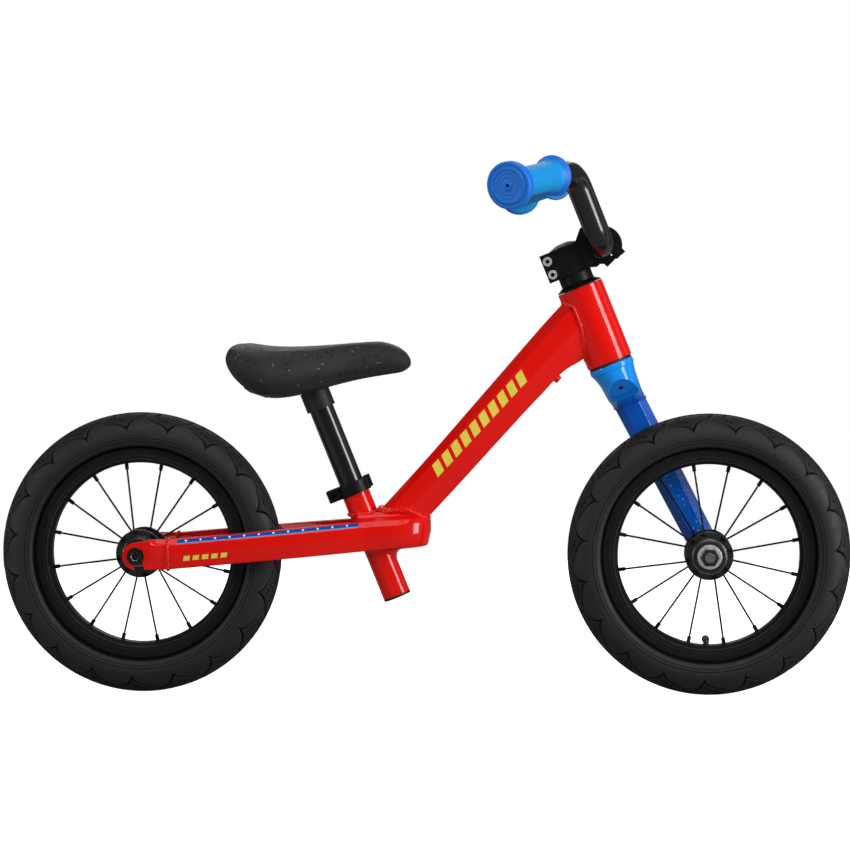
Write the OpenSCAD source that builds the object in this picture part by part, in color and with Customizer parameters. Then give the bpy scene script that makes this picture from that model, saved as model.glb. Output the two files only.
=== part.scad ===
// Balance bike for a small child: rigid frame, one-sided fork, spoked wheels with air tyres.
// +X points forward, +Y to the rider's left, +Z up. The origin lies on the ground, midway
// between the axles.

/* [Wheels] */
// Distance between the two axles
wheelbase = 590; // [585:1:600]
// Outside diameter of the tyres
tyre_d = 293; // [290:1:296]
// Width of the inflated tyre
tyre_w = 47; // [45:1:48]
// Diameter of the bead seat of the rim
bead_seat_d = 203; // [203:1:203]
// Number of spokes in a wheel
spoke_count = 16; // [16:4:20]
// Diameter of a spoke
spoke_d = 2; // [1.8:0.1:2.1]
// Diameter of the hub flanges
flange_d = 50; // [48:1:52]
// Diameter of the two axles
axle_d = 10; // [10:1:10]

/* [Steering] */
// Angle between the steering axis and the vertical
steer_tilt = 22; // [21:0.5:23]
// Offset of the front axle ahead of the steering axis
rake = 20.6; // [18:0.2:23]
// Distance of the front axle below the head tube, along the steering axis
fork_drop = 223.5; // [222:0.5:226]
// Length of the head tube
head_tube_l = 83; // [80:1:86]
// Diameter of the head tube
head_tube_d = 48; // [48:1:50]
// Diameter of the steerer tube
steerer_d = 28.6; // [28.6:0.1:28.6]
// Distance from the wheel's centre plane to the inner face of the fork leg
leg_inner_y = 31; // [31:0.5:33]
// Thickness of the fork leg across the bike
leg_thick = 29; // [26:1:30]

/* [Handlebar] */
// Diameter of the handlebar in the stem
bar_d = 25.4; // [25.4:0.1:25.4]
// Diameter of the handlebar inside the grips
bar_end_d = 22.2; // [22.2:0.1:22.2]
// Half of the handlebar's overall width
bar_half_w = 215; // [205:1:225]
// Length of a grip
grip_l = 105; // [100:1:108]

/* [Seat] */
// Diameter of the seat tube
seat_tube_d = 29; // [29:0.1:30]
// Length of the seat tube
seat_tube_l = 125; // [122:1:128]
// Diameter of the seatpost
seatpost_d = 25.4; // [25.4:0.1:25.4]

/* [Frame] */
// Height of a chainstay
stay_h = 31; // [29:1:32]
// Width of a chainstay
stay_w = 16.5; // [15:0.5:17]
// Distance from the centre plane to the inner face of a rear dropout
dropout_y = 45; // [44.5:0.5:46]
// Thickness of a rear dropout
dropout_t = 6; // [5:0.5:7]
// Wall of the frame tubes
wall = 2.5; // [2:0.1:3]

/* [Hidden] */

$fn = 64;
slip = 0.05;        // radial clearance of a shaft in its bore
cut = 1;            // how far a cutting shape runs past the face it opens
far = 400;          // size of a cutting block that clears the whole part

paint_red = "#c8120c";
paint_blue = "#1f74d6";
black = "#1b1b1d";
dark = "#2b2b2e";
silver = "#c9ccd0";
steel = "#8d9196";

// ---- derived places ----
wheel_r = tyre_d / 2;
rear_x = -wheelbase / 2;
front_x = wheelbase / 2;
c_tilt = cos(steer_tilt);
s_tilt = sin(steer_tilt);
head_x = front_x - rake * c_tilt - fork_drop * s_tilt;
head_z = wheel_r - rake * s_tilt + fork_drop * c_tilt;
seat_x = rear_x + 266.3;
seat_z = 103.1;
head_r = head_tube_d / 2;
steerer_r = steerer_d / 2;
bar_r = bar_d / 2;
bar_end_r = bar_end_d / 2;
axle_r = axle_d / 2;
post_r = seatpost_d / 2;
seat_tube_r = seat_tube_d / 2;

// ---- general shapes ----
module at_steering() translate([head_x, 0, head_z]) rotate([0, -steer_tilt, 0]) children();
module at_seat() translate([seat_x, 0, seat_z]) rotate([0, -steer_tilt, 0]) children();
// Local x and y become the bike's X and Z, and local z points to the rider's right.
module facing_right() rotate([90, 0, 0]) children();
module at_rear_axle() translate([rear_x, 0, wheel_r]) facing_right() children();
module at_front_axle() translate([front_x, 0, wheel_r]) facing_right() children();
module both_sides() {
    children();
    mirror([0, 0, 1]) children();
}

module ring(outer_r, inner_r, h) {
    difference() {
        cylinder(h = h, r = outer_r);
        translate([0, 0, -cut]) cylinder(h = h + 2 * cut, r = inner_r);
    }
}

// A socket-head screw along +z, with the head's underside at z = 0 and the shank below it.
module socket_screw(shank_r, shank_l, screw_head_r, screw_head_h, key) {
    difference() {
        union() {
            translate([0, 0, -shank_l]) cylinder(h = shank_l, r = shank_r);
            cylinder(h = screw_head_h, r = screw_head_r);
        }
        translate([0, 0, screw_head_h * 0.4]) cylinder(h = screw_head_h, r = key / 2 / cos(30), $fn = 6);
    }
}

function flatten(rows) = [for (row = rows) each row];

// A closed solid through a list of flat rings, each with the same number of points. Seen from
// the last ring, the points of a ring run anticlockwise.
module skin(rings) {
    n = len(rings[0]);
    last = len(rings) - 1;
    sides = [for (i = [0:last - 1], j = [0:n - 1]) each [
        [i * n + j, (i + 1) * n + j, (i + 1) * n + (j + 1) % n],
        [i * n + j, (i + 1) * n + (j + 1) % n, i * n + (j + 1) % n]
    ]];
    caps = [[for (j = [0:n - 1]) j], [for (j = [n - 1:-1:0]) last * n + j]];
    polyhedron(points = flatten(rings), faces = concat(sides, caps), convexity = 8);
}

// Faceted tube section as [across, up] points: narrow top, upright side, long lower chamfer.
function tube_section(half_w, up, low, inset = 0) = let (
    b = half_w - inset, u = up - inset, d = low - inset
) [
    [b * 0.55, u], [b, u * 0.62], [b, -d * 0.05], [b * 0.6, -d],
    [-b * 0.6, -d], [-b, -d * 0.05], [-b, u * 0.62], [-b * 0.55, u]
];

// Rounded section with a squareness between 2, an ellipse, and about 4.
function signed_power(v, p) = sign(v) * pow(abs(v), p);
function round_section(half_w, half_h, squareness, count) = [
    for (i = [0:count - 1]) let (a = i * 360 / count) [
        half_w * signed_power(cos(a), 2 / squareness),
        half_h * signed_power(sin(a), 2 / squareness)
    ]
];

// ---- bearings: a plain inner ring, balls and outer ring, lying on z = 0 and rising by width ----
module ball_track(pitch_r, ball_r, width) {
    translate([0, 0, width / 2]) rotate_extrude() translate([pitch_r, 0]) circle(r = ball_r + slip, $fn = 32);
}
module inner_ring(bore_r, outer_r, width, pitch_r, ball_r, ball_width) {
    difference() {
        ring(outer_r, bore_r, width);
        ball_track(pitch_r, ball_r, ball_width);
    }
}
module outer_ring(outer_r, bore_r, width, pitch_r, ball_r) {
    difference() {
        ring(outer_r, bore_r, width);
        ball_track(pitch_r, ball_r, width);
    }
}
module ball_set(pitch_r, ball_r, width, count) {
    for (i = [0:count - 1]) {
        rotate([0, 0, i * 360 / count]) translate([pitch_r, 0, width / 2]) sphere(r = ball_r, $fn = 24);
    }
}

// ---- wheel dimensions ----
bead_seat_r = bead_seat_d / 2;
flange_top_r = bead_seat_r + 7.9;
tyre_c = wheel_r - tyre_w / 2;
tyre_wall = 4;
bead_r = bead_seat_r + 0.3;
bead_out = 11.3;
bead_in = 8;
bead_top = flange_top_r + 1.6;
air_low = bead_top + 3;
rim_half_w = 13;
rim_bed_r = 94;
rim_bed_t = 2.5;
hub_flange_z = 18;
hub_flange_t = 3;
hub_end = 30;
hub_end_r = 18;
bearing_w = 8;
bearing_r = 13;
bearing_pitch = 9.3;
bearing_ball_r = 2.3;
bearing_in_r = 7.9;
bearing_out_bore = 10.7;
inner_ring_proud = 0.8;
spoke_hole_r = flange_d / 2 - 2.5;
spoke_first = 9.8;
spoke_step = 360 / spoke_count;
valve_angle = spoke_first - spoke_step / 2;
front_valve_angle = valve_angle - 90;

module air_shape(radius, low) {
    intersection() {
        translate([tyre_c, 0]) circle(r = radius);
        translate([low, -tyre_w]) square([far, 2 * tyre_w]);
    }
}

module tyre() {
    color(dark) rotate_extrude($fn = 128) difference() {
        union() {
            air_shape(tyre_w / 2, bead_top);
            translate([bead_r, -bead_out]) square([air_low - bead_r, 2 * bead_out]);
        }
        air_shape(tyre_w / 2 - tyre_wall, air_low);
        translate([bead_r - cut, -bead_in]) square([air_low - bead_r + 2 * cut, 2 * bead_in]);
    }
}

tube_gap = 0.3;
tube_wall = 1.2;
module inner_tube(angle) {
    tube_r = tyre_w / 2 - tyre_wall - tube_gap;
    color(black) difference() {
        rotate_extrude($fn = 128) difference() {
            air_shape(tube_r, air_low + tube_gap);
            air_shape(tube_r - tube_wall, air_low + tube_gap + tube_wall);
        }
        rotate([0, 0, angle]) translate([air_low - cut, 0, 0]) rotate([0, 90, 0])
            cylinder(h = tube_wall + 3 * cut, r = valve_r + slip);
    }
}

module rim(angle) {
    side = rim_half_w;
    bed = rim_bed_r;
    color(black) difference() {
        rotate_extrude($fn = 128) polygon([
            [bed, -7], [bed + 4, -side], [flange_top_r, -side], [flange_top_r, -bead_out - 0.2],
            [bead_seat_r, -bead_out - 0.2], [bead_seat_r - 2, -7], [bed + rim_bed_t, -6],
            [bed + rim_bed_t, 6], [bead_seat_r - 2, 7], [bead_seat_r, bead_out + 0.2],
            [flange_top_r, bead_out + 0.2], [flange_top_r, side], [bed + 4, side], [bed, 7]
        ]);
        for (k = [0:spoke_count - 1]) at_spoke_end(k) translate([0, 0, -4])
            cylinder(h = 7, r = nipple_r + 0.2, $fn = 24);
        rotate([0, 0, angle]) translate([bed - cut, 0, 0]) rotate([0, 90, 0])
            cylinder(h = 6, r = valve_r + 0.3, $fn = 32);
    }
}

function unit(v) = v / norm(v);
// Turns its children so that local z runs along d.
module facing(d) rotate([0, acos(d.z / norm(d)), atan2(d.y, d.x)]) children();
// A round bar of radius r from point a to point b.
module rod(a, b, r) translate(a) facing(b - a) cylinder(h = norm(b - a), r = r);

elbow_out = 3.6;
elbow_in = 2.6;
spoke_lean = 4;
// Every second spoke starts from the left flange; in each flange every second one has its elbow outside.
function spoke_side(k) = k % 2 == 0 ? 1 : -1;
function spoke_outward(k) = floor(k / 2) % 2 == 0 ? 1 : -1;
function round_point(r, a, z) = [r * cos(a), r * sin(a), z];
function spoke_angle(k) = spoke_first + k * spoke_step;
function spoke_end(k) = round_point(rim_bed_r + 2, spoke_angle(k), 0);
function spoke_elbow(k) = round_point(spoke_hole_r, spoke_angle(k) + spoke_outward(k) * spoke_lean,
    spoke_side(k) * (hub_flange_z + (spoke_outward(k) > 0 ? elbow_out : -elbow_in)));
// Local z runs outwards along the spoke from its end in the rim.
module at_spoke_end(k) translate(spoke_end(k)) facing(spoke_end(k) - spoke_elbow(k)) children();

nipple_r = 2;
nipple_low = -8.5;
nipple_seat = 1.6;
module nipples() {
    color(black) for (k = [0:spoke_count - 1]) at_spoke_end(k) difference() {
        union() {
            translate([0, 0, nipple_low]) cylinder(h = nipple_seat + 1 - nipple_low, r = nipple_r, $fn = 24);
            translate([0, 0, nipple_seat]) cylinder(h = 1.8, r = 3, $fn = 24);
        }
        translate([0, 0, -20]) cylinder(h = 40, r = spoke_d / 2 + 0.15, $fn = 24);
    }
}

module spokes() {
    spoke_r = spoke_d / 2;
    color(black) for (k = [0:spoke_count - 1]) {
        elbow = spoke_elbow(k);
        head_at = spoke_side(k) * (hub_flange_z - spoke_outward(k) * elbow_in);
        neck_low = min(elbow.z, head_at) - (elbow.z < head_at ? spoke_r : 0);
        union() {
            rod(elbow, spoke_end(k), spoke_r, $fn = 24);
            translate([elbow.x, elbow.y, neck_low])
                cylinder(h = abs(elbow.z - head_at) + spoke_r, r = spoke_r + 0.1, $fn = 24);
            translate([elbow.x, elbow.y, head_at - 0.6]) cylinder(h = 1.2, r = 1.9, $fn = 24);
        }
    }
}

module hub() {
    color(black) difference() {
        union() {
            cylinder(h = 2 * hub_flange_z, r = 14, center = true);
            both_sides() {
                translate([0, 0, hub_flange_z - hub_flange_t / 2])
                    cylinder(h = hub_flange_t, r = flange_d / 2);
                translate([0, 0, hub_flange_z]) cylinder(h = hub_end - hub_flange_z - 1.5, r = hub_end_r);
                translate([0, 0, hub_end - 1.5]) cylinder(h = 1.5, r1 = hub_end_r, r2 = hub_end_r - 1.5);
            }
        }
        cylinder(h = 4 * hub_end, r = 9.5, center = true);
        both_sides() translate([0, 0, hub_end - bearing_w])
            cylinder(h = bearing_w + cut, r = bearing_r + slip);
        for (k = [0:spoke_count - 1])
            rotate([0, 0, spoke_angle(k) + spoke_outward(k) * spoke_lean])
                translate([spoke_hole_r, 0, spoke_side(k) * hub_flange_z])
                cylinder(h = hub_flange_t + 2 * cut, r = spoke_d / 2 + 0.3, center = true, $fn = 24);
    }
}

module wheel_outer_rings() {
    color(steel) both_sides() translate([0, 0, hub_end - bearing_w])
        outer_ring(bearing_r, bearing_out_bore, bearing_w, bearing_pitch, bearing_ball_r);
}
module wheel_balls() {
    color(silver) both_sides() translate([0, 0, hub_end - bearing_w])
        ball_set(bearing_pitch, bearing_ball_r, bearing_w, 8);
}
module wheel_inner_rings() {
    color(steel) both_sides() translate([0, 0, hub_end - bearing_w])
        inner_ring(axle_r + slip, bearing_in_r, bearing_w + inner_ring_proud,
            bearing_pitch, bearing_ball_r, bearing_w);
}

// Valve with a bent stem: it leaves the rim towards the hub and turns to the rider's left.
valve_r = 3;
valve_elbow = 4;
module valve(angle) {
    elbow_r = rim_bed_r - valve_elbow;
    color(black) rotate([0, 0, angle]) {
        translate([elbow_r, 0, 0]) {
            rotate([0, 90, 0]) cylinder(h = air_low + tube_wall - elbow_r, r = valve_r);
            sphere(r = valve_r);
            translate([0, 0, -11]) cylinder(h = 11, r = valve_r);
            translate([0, 0, -18]) cylinder(h = 7, r = valve_r + 0.9);
        }
    }
}

// ---- rear axle ----
module rear_axle() {
    color(steel) at_rear_axle() difference() {
        cylinder(h = 2 * (dropout_y + dropout_t - 1), r = axle_r, center = true);
        both_sides() translate([0, 0, dropout_y - 20]) cylinder(h = 40, r = 3 + slip);
    }
}
module rear_axle_spacers() {
    start = hub_end + inner_ring_proud;
    color(dark) at_rear_axle() both_sides() translate([0, 0, start])
        ring(8, axle_r + slip, dropout_y - start);
}
washer_t = 2;
module rear_axle_washers() {
    color(black) at_rear_axle() both_sides() translate([0, 0, dropout_y + dropout_t])
        ring(9, 3 + slip, washer_t);
}
module rear_axle_bolts() {
    color(black) at_rear_axle() both_sides() translate([0, 0, dropout_y + dropout_t + washer_t])
        socket_screw(3, 24, 7.5, 6, 8);
}

// ---- frame ----
stay_slope = 5.14;              // rise of the chainstays towards the front, in degrees
stay_rear_z = 148;
stay_rear_x = rear_x + 33;
stay_front_x = seat_x - 31.3;
dropout_mid_y = dropout_y - stay_w / 2 + dropout_t + 0.25;
function stay_z(x) = stay_rear_z + (x - stay_rear_x) * tan(stay_slope);

// Distance of a stay's centre line from the centre plane, at the share t from front to rear.
function stay_y(t) = 24.75 + (dropout_mid_y - 24.75) * (1 - pow(1 - t, 2.4));
stay_steps = 7;
function stay_rings(inset) = [for (i = [0:stay_steps])
    let (t = i / stay_steps, x = stay_front_x + t * (stay_rear_x - stay_front_x))
    [for (p = tube_section(stay_w / 2, stay_h / 2, stay_h / 2, inset)) [x, -stay_y(t) + p.x, stay_z(x) + p.y]]
];

module stay() {
    color(paint_red) difference() {
        skin(stay_rings(0));
        skin(stay_rings(wall));
    }
}
module stay_right() stay();
module stay_left() mirror([0, 1, 0]) stay();

dropout_r = 14;
slot_w = 10.4;
slot_lean = 14;                 // the slot's mouth points down and this far forward
module dropout() {
    reach = stay_rear_x - rear_x;
    end_mid = stay_z(stay_rear_x) - wheel_r;
    block = [for (step = [[reach, stay_w / 2, dropout_mid_y], [reach - 12, stay_w / 2, dropout_mid_y],
                          [reach - 20, dropout_t / 2, dropout_y + dropout_t / 2]])
        [for (p = tube_section(step.y, stay_h / 2, stay_h / 2)) [step.x, p.y + end_mid, step.z - p.x]]
    ];
    color(paint_red) at_rear_axle() difference() {
        union() {
            translate([0, 0, dropout_y]) linear_extrude(dropout_t) {
                circle(r = dropout_r);
                polygon([[0, dropout_r], [reach - 18, 16.5], [reach - 18, -dropout_r], [0, -dropout_r]]);
            }
            skin(block);
        }
        rotate([0, 0, slot_lean]) translate([0, 0, dropout_y - 20]) linear_extrude(40) {
            circle(r = slot_w / 2);
            translate([-slot_w / 2, -30]) square([slot_w, 30]);
        }
    }
}
module dropout_right() dropout();
module dropout_left() mirror([0, 1, 0]) dropout();

// The face between the yoke and the foot of the main tube slopes down towards the front.
foot_x = seat_x - 16.3;
foot_z = 194;
foot_slope = 11;
module above_foot() translate([foot_x, -far / 2, foot_z]) rotate([0, foot_slope, 0])
    translate([-far / 2, 0, 0]) cube([far, far, far]);
module below_foot() translate([foot_x, -far / 2, foot_z]) rotate([0, foot_slope, 0])
    translate([-far / 2, 0, -far]) cube([far, far, far]);

nose_r = 26;
module yoke_outline(inset, forward = 0) {
    hull() {
        for (side = [-1, 1]) translate([seat_x + 9.7 + forward, side * 4]) circle(r = nose_r - inset);
        translate([stay_front_x, -33 + inset]) square([1, 66 - 2 * inset]);
    }
}
module yoke() {
    low = stay_z(stay_front_x) - stay_h / 2;
    color(paint_red) difference() {
        union() {
            hull() {
                translate([0, 0, low]) linear_extrude(0.1) yoke_outline(4.5);
                translate([0, 0, low + 12]) linear_extrude(14) yoke_outline(0);
                translate([0, 0, low + stay_h + 3]) linear_extrude(0.1) yoke_outline(5, 5);
            }
            hull() {
                translate([0, 0, low + 20]) linear_extrude(1) yoke_outline(7);
                translate([seat_x - 22, -17, low + 40]) cube([50, 34, 8]);
            }
        }
        above_foot();
        at_seat() translate([0, 0, -60]) cylinder(h = far, r = seat_tube_r + slip);
        translate([stay_front_x - far, -far / 2, 0]) cube([far, far, far]);
    }
}

// The main tube's centre line runs from the foot up to the steering axis.
tube_start = [seat_x + 32.4, 215.5];
tube_end = [head_x - 55 * s_tilt, head_z + 55 * c_tilt];
tube_dir = unit(tube_end - tube_start);
tube_up = [-tube_dir.y, tube_dir.x];
// Each station holds the distance along the centre line, then half width, height above, depth below
tube_stations = [[-56, 18, 20, 21.5], [20, 18, 20.8, 21.6], [150, 19.5, 25, 20.8],
    [190, 20, 26.4, 22.5], [203, 20, 26.8, 26.5], [240, 20, 27, 32]];
function main_tube_rings(inset) = [for (st = tube_stations)
    let (c = tube_start + tube_dir * st[0])
    [for (p = tube_section(st[1], st[2], st[3], inset)) [c.x + tube_up.x * p.y, -p.x, c.y + tube_up.y * p.y]]
];
boss_at = 174;
boss_h = 3;
boss_r = 4;
boss_hole_r = 2.5;
module at_boss() translate([tube_start.x, 0, tube_start.y]) rotate([0, -atan2(tube_dir.y, tube_dir.x), 0])
    translate([boss_at, 0, -21.7]) rotate([180, 0, 0]) children();
module main_tube() {
    color(paint_red) difference() {
        union() {
            difference() {
                skin(main_tube_rings(0));
                skin(main_tube_rings(wall));
            }
            at_boss() translate([0, 0, -4]) cylinder(h = 4 + boss_h, r = boss_r);
        }
        below_foot();
        at_steering() translate([0, 0, -60]) cylinder(h = far, r = head_r + slip);
        at_boss() translate([0, 0, -10]) cylinder(h = 20, r = boss_hole_r);
    }
}

cup_depth = 8;
headset_w = 7;
headset_out_r = 20.9;
headset_pitch = 17.6;
headset_ball_r = 1.9;
module head_tube() {
    color(paint_red) at_steering() difference() {
        cylinder(h = head_tube_l, r = head_r);
        translate([0, 0, -cut]) cylinder(h = head_tube_l + 2 * cut, r = 19);
        translate([0, 0, -cut]) cylinder(h = cup_depth + cut, r = headset_out_r + slip);
        translate([0, 0, head_tube_l - cup_depth]) cylinder(h = cup_depth + cut, r = headset_out_r + slip);
    }
}

module seat_tube() {
    color(paint_red) at_seat() difference() {
        cylinder(h = seat_tube_l, r = seat_tube_r);
        translate([0, 0, -cut]) cylinder(h = seat_tube_l + 2 * cut, r = post_r + slip);
        translate([-seat_tube_r - cut, -1.5, seat_tube_l - 22]) cube([seat_tube_r, 3, 22 + cut]);
    }
}
module seat_tube_plug() {
    color(black) at_seat() {
        translate([0, 0, -2.5]) cylinder(h = 2.5, r = seat_tube_r);
        cylinder(h = 8, r = post_r - 0.1);
    }
}

clamp_h = 13;
clamp_r = 17.6;
clamp_ear = 28;
module seat_clamp() {
    color(black) at_seat() translate([0, 0, seat_tube_l - clamp_h + 1.5]) difference() {
        union() {
            cylinder(h = clamp_h, r = clamp_r);
            translate([-clamp_ear, -9, 0]) cube([clamp_ear, 18, clamp_h]);
            translate([clamp_r - 4, -6, 1.5]) cube([6.5, 12, clamp_h]);
        }
        translate([0, 0, -cut]) cylinder(h = clamp_h - 1.5 + cut, r = seat_tube_r + slip);
        cylinder(h = far, r = post_r + 0.3);
        translate([-clamp_ear - cut, -1.3, -cut]) cube([clamp_ear, 2.6, clamp_h + 2 * cut]);
        translate([-22, 0, clamp_h / 2]) facing_right() {
            cylinder(h = 60, r = 2.5 + slip, center = true);
            translate([0, 0, 5.5]) cylinder(h = 10, r = 4.4);
        }
    }
}
module seat_clamp_bolt() {
    color(steel) at_seat() translate([-22, 0, seat_tube_l + 1.5 - clamp_h / 2]) facing_right()
        translate([0, 0, 5.5]) socket_screw(2.5, 14, 4.2, 3.2, 4);
}

// ---- headset ----
lower_race_w = 0.6;
upper_race_w = head_tube_l - 0.6 - headset_w;
module at_races() for (level = [lower_race_w, upper_race_w]) at_steering()
    translate([0, 0, level]) children();
module headset_outer_races() color(steel) at_races()
    outer_ring(headset_out_r, 18.6, headset_w, headset_pitch, headset_ball_r);
module headset_inner_races() color(steel) at_races()
    inner_ring(steerer_r + slip, 16.6, headset_w, headset_pitch, headset_ball_r, headset_w);
module headset_balls() color(silver) at_races() ball_set(headset_pitch, headset_ball_r, headset_w, 16);

collar_top = -2.6;
module headset_lower_seal() color(black) at_steering()
    translate([0, 0, collar_top]) ring(22.8, 16.6, -collar_top - 0.4);
cover_h = 4.5;
spacer_h = 10;
stem_low = head_tube_l + 0.5 + cover_h + spacer_h;
stem_top = stem_low + 30;
module headset_top_cover() {
    color(black) at_steering() translate([0, 0, head_tube_l + 0.5]) difference() {
        union() {
            cylinder(h = 1.2, r = head_r - 0.4);
            translate([0, 0, 1.2]) cylinder(h = cover_h - 1.2, r1 = head_r - 0.4, r2 = 18);
            translate([0, 0, -1.1]) cylinder(h = 1.1, r = 16.4);
        }
        translate([0, 0, -5]) cylinder(h = 20, r = steerer_r + slip);
    }
}
module headset_spacer() color(black) at_steering()
    translate([0, 0, stem_low - spacer_h]) ring(17.5, steerer_r + slip, spacer_h);

// ---- fork ----
steerer_low = -16;
steerer_top = stem_top - 3;
module steerer() color(steel) at_steering() translate([0, 0, steerer_low])
    ring(steerer_r, steerer_r - 2.3, steerer_top - steerer_low);

leg_mid_y = leg_inner_y + leg_thick / 2;
leg_top_w = -50;
leg_lean = (rake - 2.1) / (fork_drop - 36);
function leg_u(w) = 2.1 + (-36 - w) * leg_lean;
// Rings of the crown from the collar down to the leg: height, then near side, far side, rear, front
crown_stations = [[-8.5, -22.6, 22.6, -22.6, 22.6], [-15, -21.2, 25.5, -20.2, 21.4],
    [-22, -20.5, 43, -18.4, 20.8], [-30, -20, 57.5, -17.6, 20.4],
    [-38, -17, leg_inner_y + leg_thick, -16.6, 20], [-43, 2, leg_inner_y + leg_thick, -15.2, 20.2],
    [-47, 21, leg_inner_y + leg_thick, -14.6, 20.6],
    [leg_top_w, leg_inner_y - 1, leg_inner_y + leg_thick, -14.1, 21]];
crown_points = 36;
function crown_rings() = [for (st = crown_stations)
    let (mid_u = (st[3] + st[4]) / 2, mid_y = (st[1] + st[2]) / 2,
         square = 2 + 1.1 * min(1, max(0, (-st[0] - 15) / 25)))
    [for (p = round_section((st[4] - st[3]) / 2, (st[2] - st[1]) / 2, square, crown_points))
        [mid_u - p.x, mid_y + p.y, st[0]]]
];
facet_tilt = 38;                // the flat on the crown faces right and this far downwards
facet_mid = [0.5, -13.5, -29.1];
crown_hole_r = 2.5;
crown_hole_l = 12;
// Local z runs out of the crown's flat face.
module at_facet() translate(facet_mid) rotate([90 + facet_tilt, 0, 0]) children();
module fork_crown() {
    color(paint_blue) at_steering() difference() {
        union() {
            translate([0, 0, -9]) cylinder(h = 9 + collar_top, r = 23.5);
            translate([0, 0, collar_top - 0.5]) cylinder(h = lower_race_w - collar_top + 0.5, r = 16.5);
            skin(crown_rings());
        }
        translate([0, 0, steerer_low]) cylinder(h = 60, r = steerer_r + slip);
        at_facet() translate([-far / 2, -far / 2, 0]) cube([far, far, 40]);
        at_facet() translate([0, 0, -crown_hole_l]) cylinder(h = 40, r = crown_hole_r);
    }
}

// Rings of the leg: height, half width, and how far the hollow stops short of the ring
leg_stations = [[leg_top_w, 17.5, -3], [-70, 17.3, 0], [-140, 16.4, 0], [-fork_drop, 15.5, 18]];
function leg_rings(inset) = [for (st = leg_stations)
    [for (p = round_section(st[1] - inset, leg_thick / 2 - inset, 3, 32))
        [leg_u(st[0]) - p.x, leg_mid_y + p.y, st[0] + (inset > 0 ? st[2] : 0)]]
];
module fork_leg() {
    color("#1456b8") difference() {
        union() {
            at_steering() difference() {
                skin(leg_rings(0));
                skin(leg_rings(3));
            }
            at_front_axle() translate([0, 0, -leg_inner_y - leg_thick]) {
                translate([0, 0, 2]) cylinder(h = leg_thick - 4, r = 15.5);
                cylinder(h = 2, r1 = 13.5, r2 = 15.5);
                translate([0, 0, leg_thick - 2]) cylinder(h = 2, r1 = 15.5, r2 = 14);
            }
        }
        at_front_axle() cylinder(h = far, r = axle_r + slip, center = true);
    }
}

nut_washer_t = 2.5;
nut_h = 8;
nut_start = hub_end + inner_ring_proud + nut_washer_t;
axle_proud = 5;
axle_end_r = axle_r - 0.25;
axle_shoulder = 0.3;
module front_stub_axle() {
    head_start = leg_inner_y + leg_thick;
    color(steel) at_front_axle() difference() {
        union() {
            translate([0, 0, -head_start])
                cylinder(h = head_start + nut_start + nut_h + axle_shoulder, r = axle_r);
            translate([0, 0, nut_start]) cylinder(h = nut_h + axle_proud, r = axle_end_r);
            translate([0, 0, -head_start - 5]) cylinder(h = 5, r = 9);
        }
        translate([0, 0, -head_start - 6]) cylinder(h = 4.5, r = 8 / 2 / cos(30), $fn = 6);
    }
}
module front_axle_washer() color(silver) at_front_axle()
    translate([0, 0, nut_start - nut_washer_t]) ring(12.5, axle_r + slip, nut_washer_t);
module front_axle_nut() {
    color(steel) at_front_axle() translate([0, 0, nut_start]) difference() {
        intersection() {
            cylinder(h = nut_h, r = 17 / 2 / cos(30), $fn = 6);
            union() {
                cylinder(h = nut_h - 1.5, r = 10);
                translate([0, 0, nut_h - 1.5]) cylinder(h = 1.5, r1 = 10, r2 = 8.4);
            }
        }
        translate([0, 0, -cut]) cylinder(h = nut_h + 2 * cut, r = axle_r + slip);
    }
}

// ---- stem ----
bar_u = 37.4;
bar_w = 114.3;
clamp_lean = 45;                // the clamp's split faces forward and this far upwards
split = 0.8;
stem_half_w = 18;
clamp_half_w = 21;
upper_bolt = 20.5;
lower_bolt = -16.8;
faceplate_bolt_y = 13.5;
bar_x = head_x + bar_u * c_tilt - bar_w * s_tilt;
bar_z = head_z + bar_u * s_tilt + bar_w * c_tilt;
pinch_u = -21;
pinch_levels = [7.5, 22];
module at_bar() translate([bar_x, 0, bar_z]) children();
module at_split() at_bar() rotate([0, -clamp_lean, 0]) children();
module side_plate(half_width) rotate([90, 0, 0]) translate([0, 0, -half_width])
    linear_extrude(2 * half_width) children();
module at_faceplate_bolts() {
    for (level = [upper_bolt, lower_bolt], y = [-faceplate_bolt_y, faceplate_bolt_y])
        at_split() translate([0, y, level]) rotate([0, 90, 0]) children();
}
module at_pinch_bolts() for (level = pinch_levels) at_steering()
    translate([pinch_u, 0, stem_low + level]) facing_right() children();

module stem() {
    color(black) difference() {
        union() {
            at_steering() side_plate(stem_half_w)
                translate([-27, stem_low]) square([57, stem_top - stem_low]);
            at_steering() side_plate(clamp_half_w) {
                polygon([
                    [14, stem_low], [17.8, stem_low], [24, 96], [bar_u, 101],
                    [bar_u, bar_w], [30, 140], [22.6, 139.4], [13.5, 129]
                ]);
                translate([bar_u, bar_w]) circle(r = 19);
            }
        }
        at_split() translate([-split, -far / 2, -far / 2]) cube([far, far, far]);
        at_bar() facing_right() cylinder(h = far, r = bar_r + slip, center = true);
        at_steering() cylinder(h = far, r = steerer_r + slip);
        at_steering() translate([-27 - cut, -1.4, stem_low - cut]) cube([20, 2.8, 40]);
        at_faceplate_bolts() translate([0, 0, -14]) cylinder(h = 40, r = 2.5 + slip);
        at_pinch_bolts() {
            cylinder(h = 80, r = 2.5 + slip, center = true);
            translate([0, 0, 12.5]) cylinder(h = 20, r = 5.2);
        }
    }
}
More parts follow.
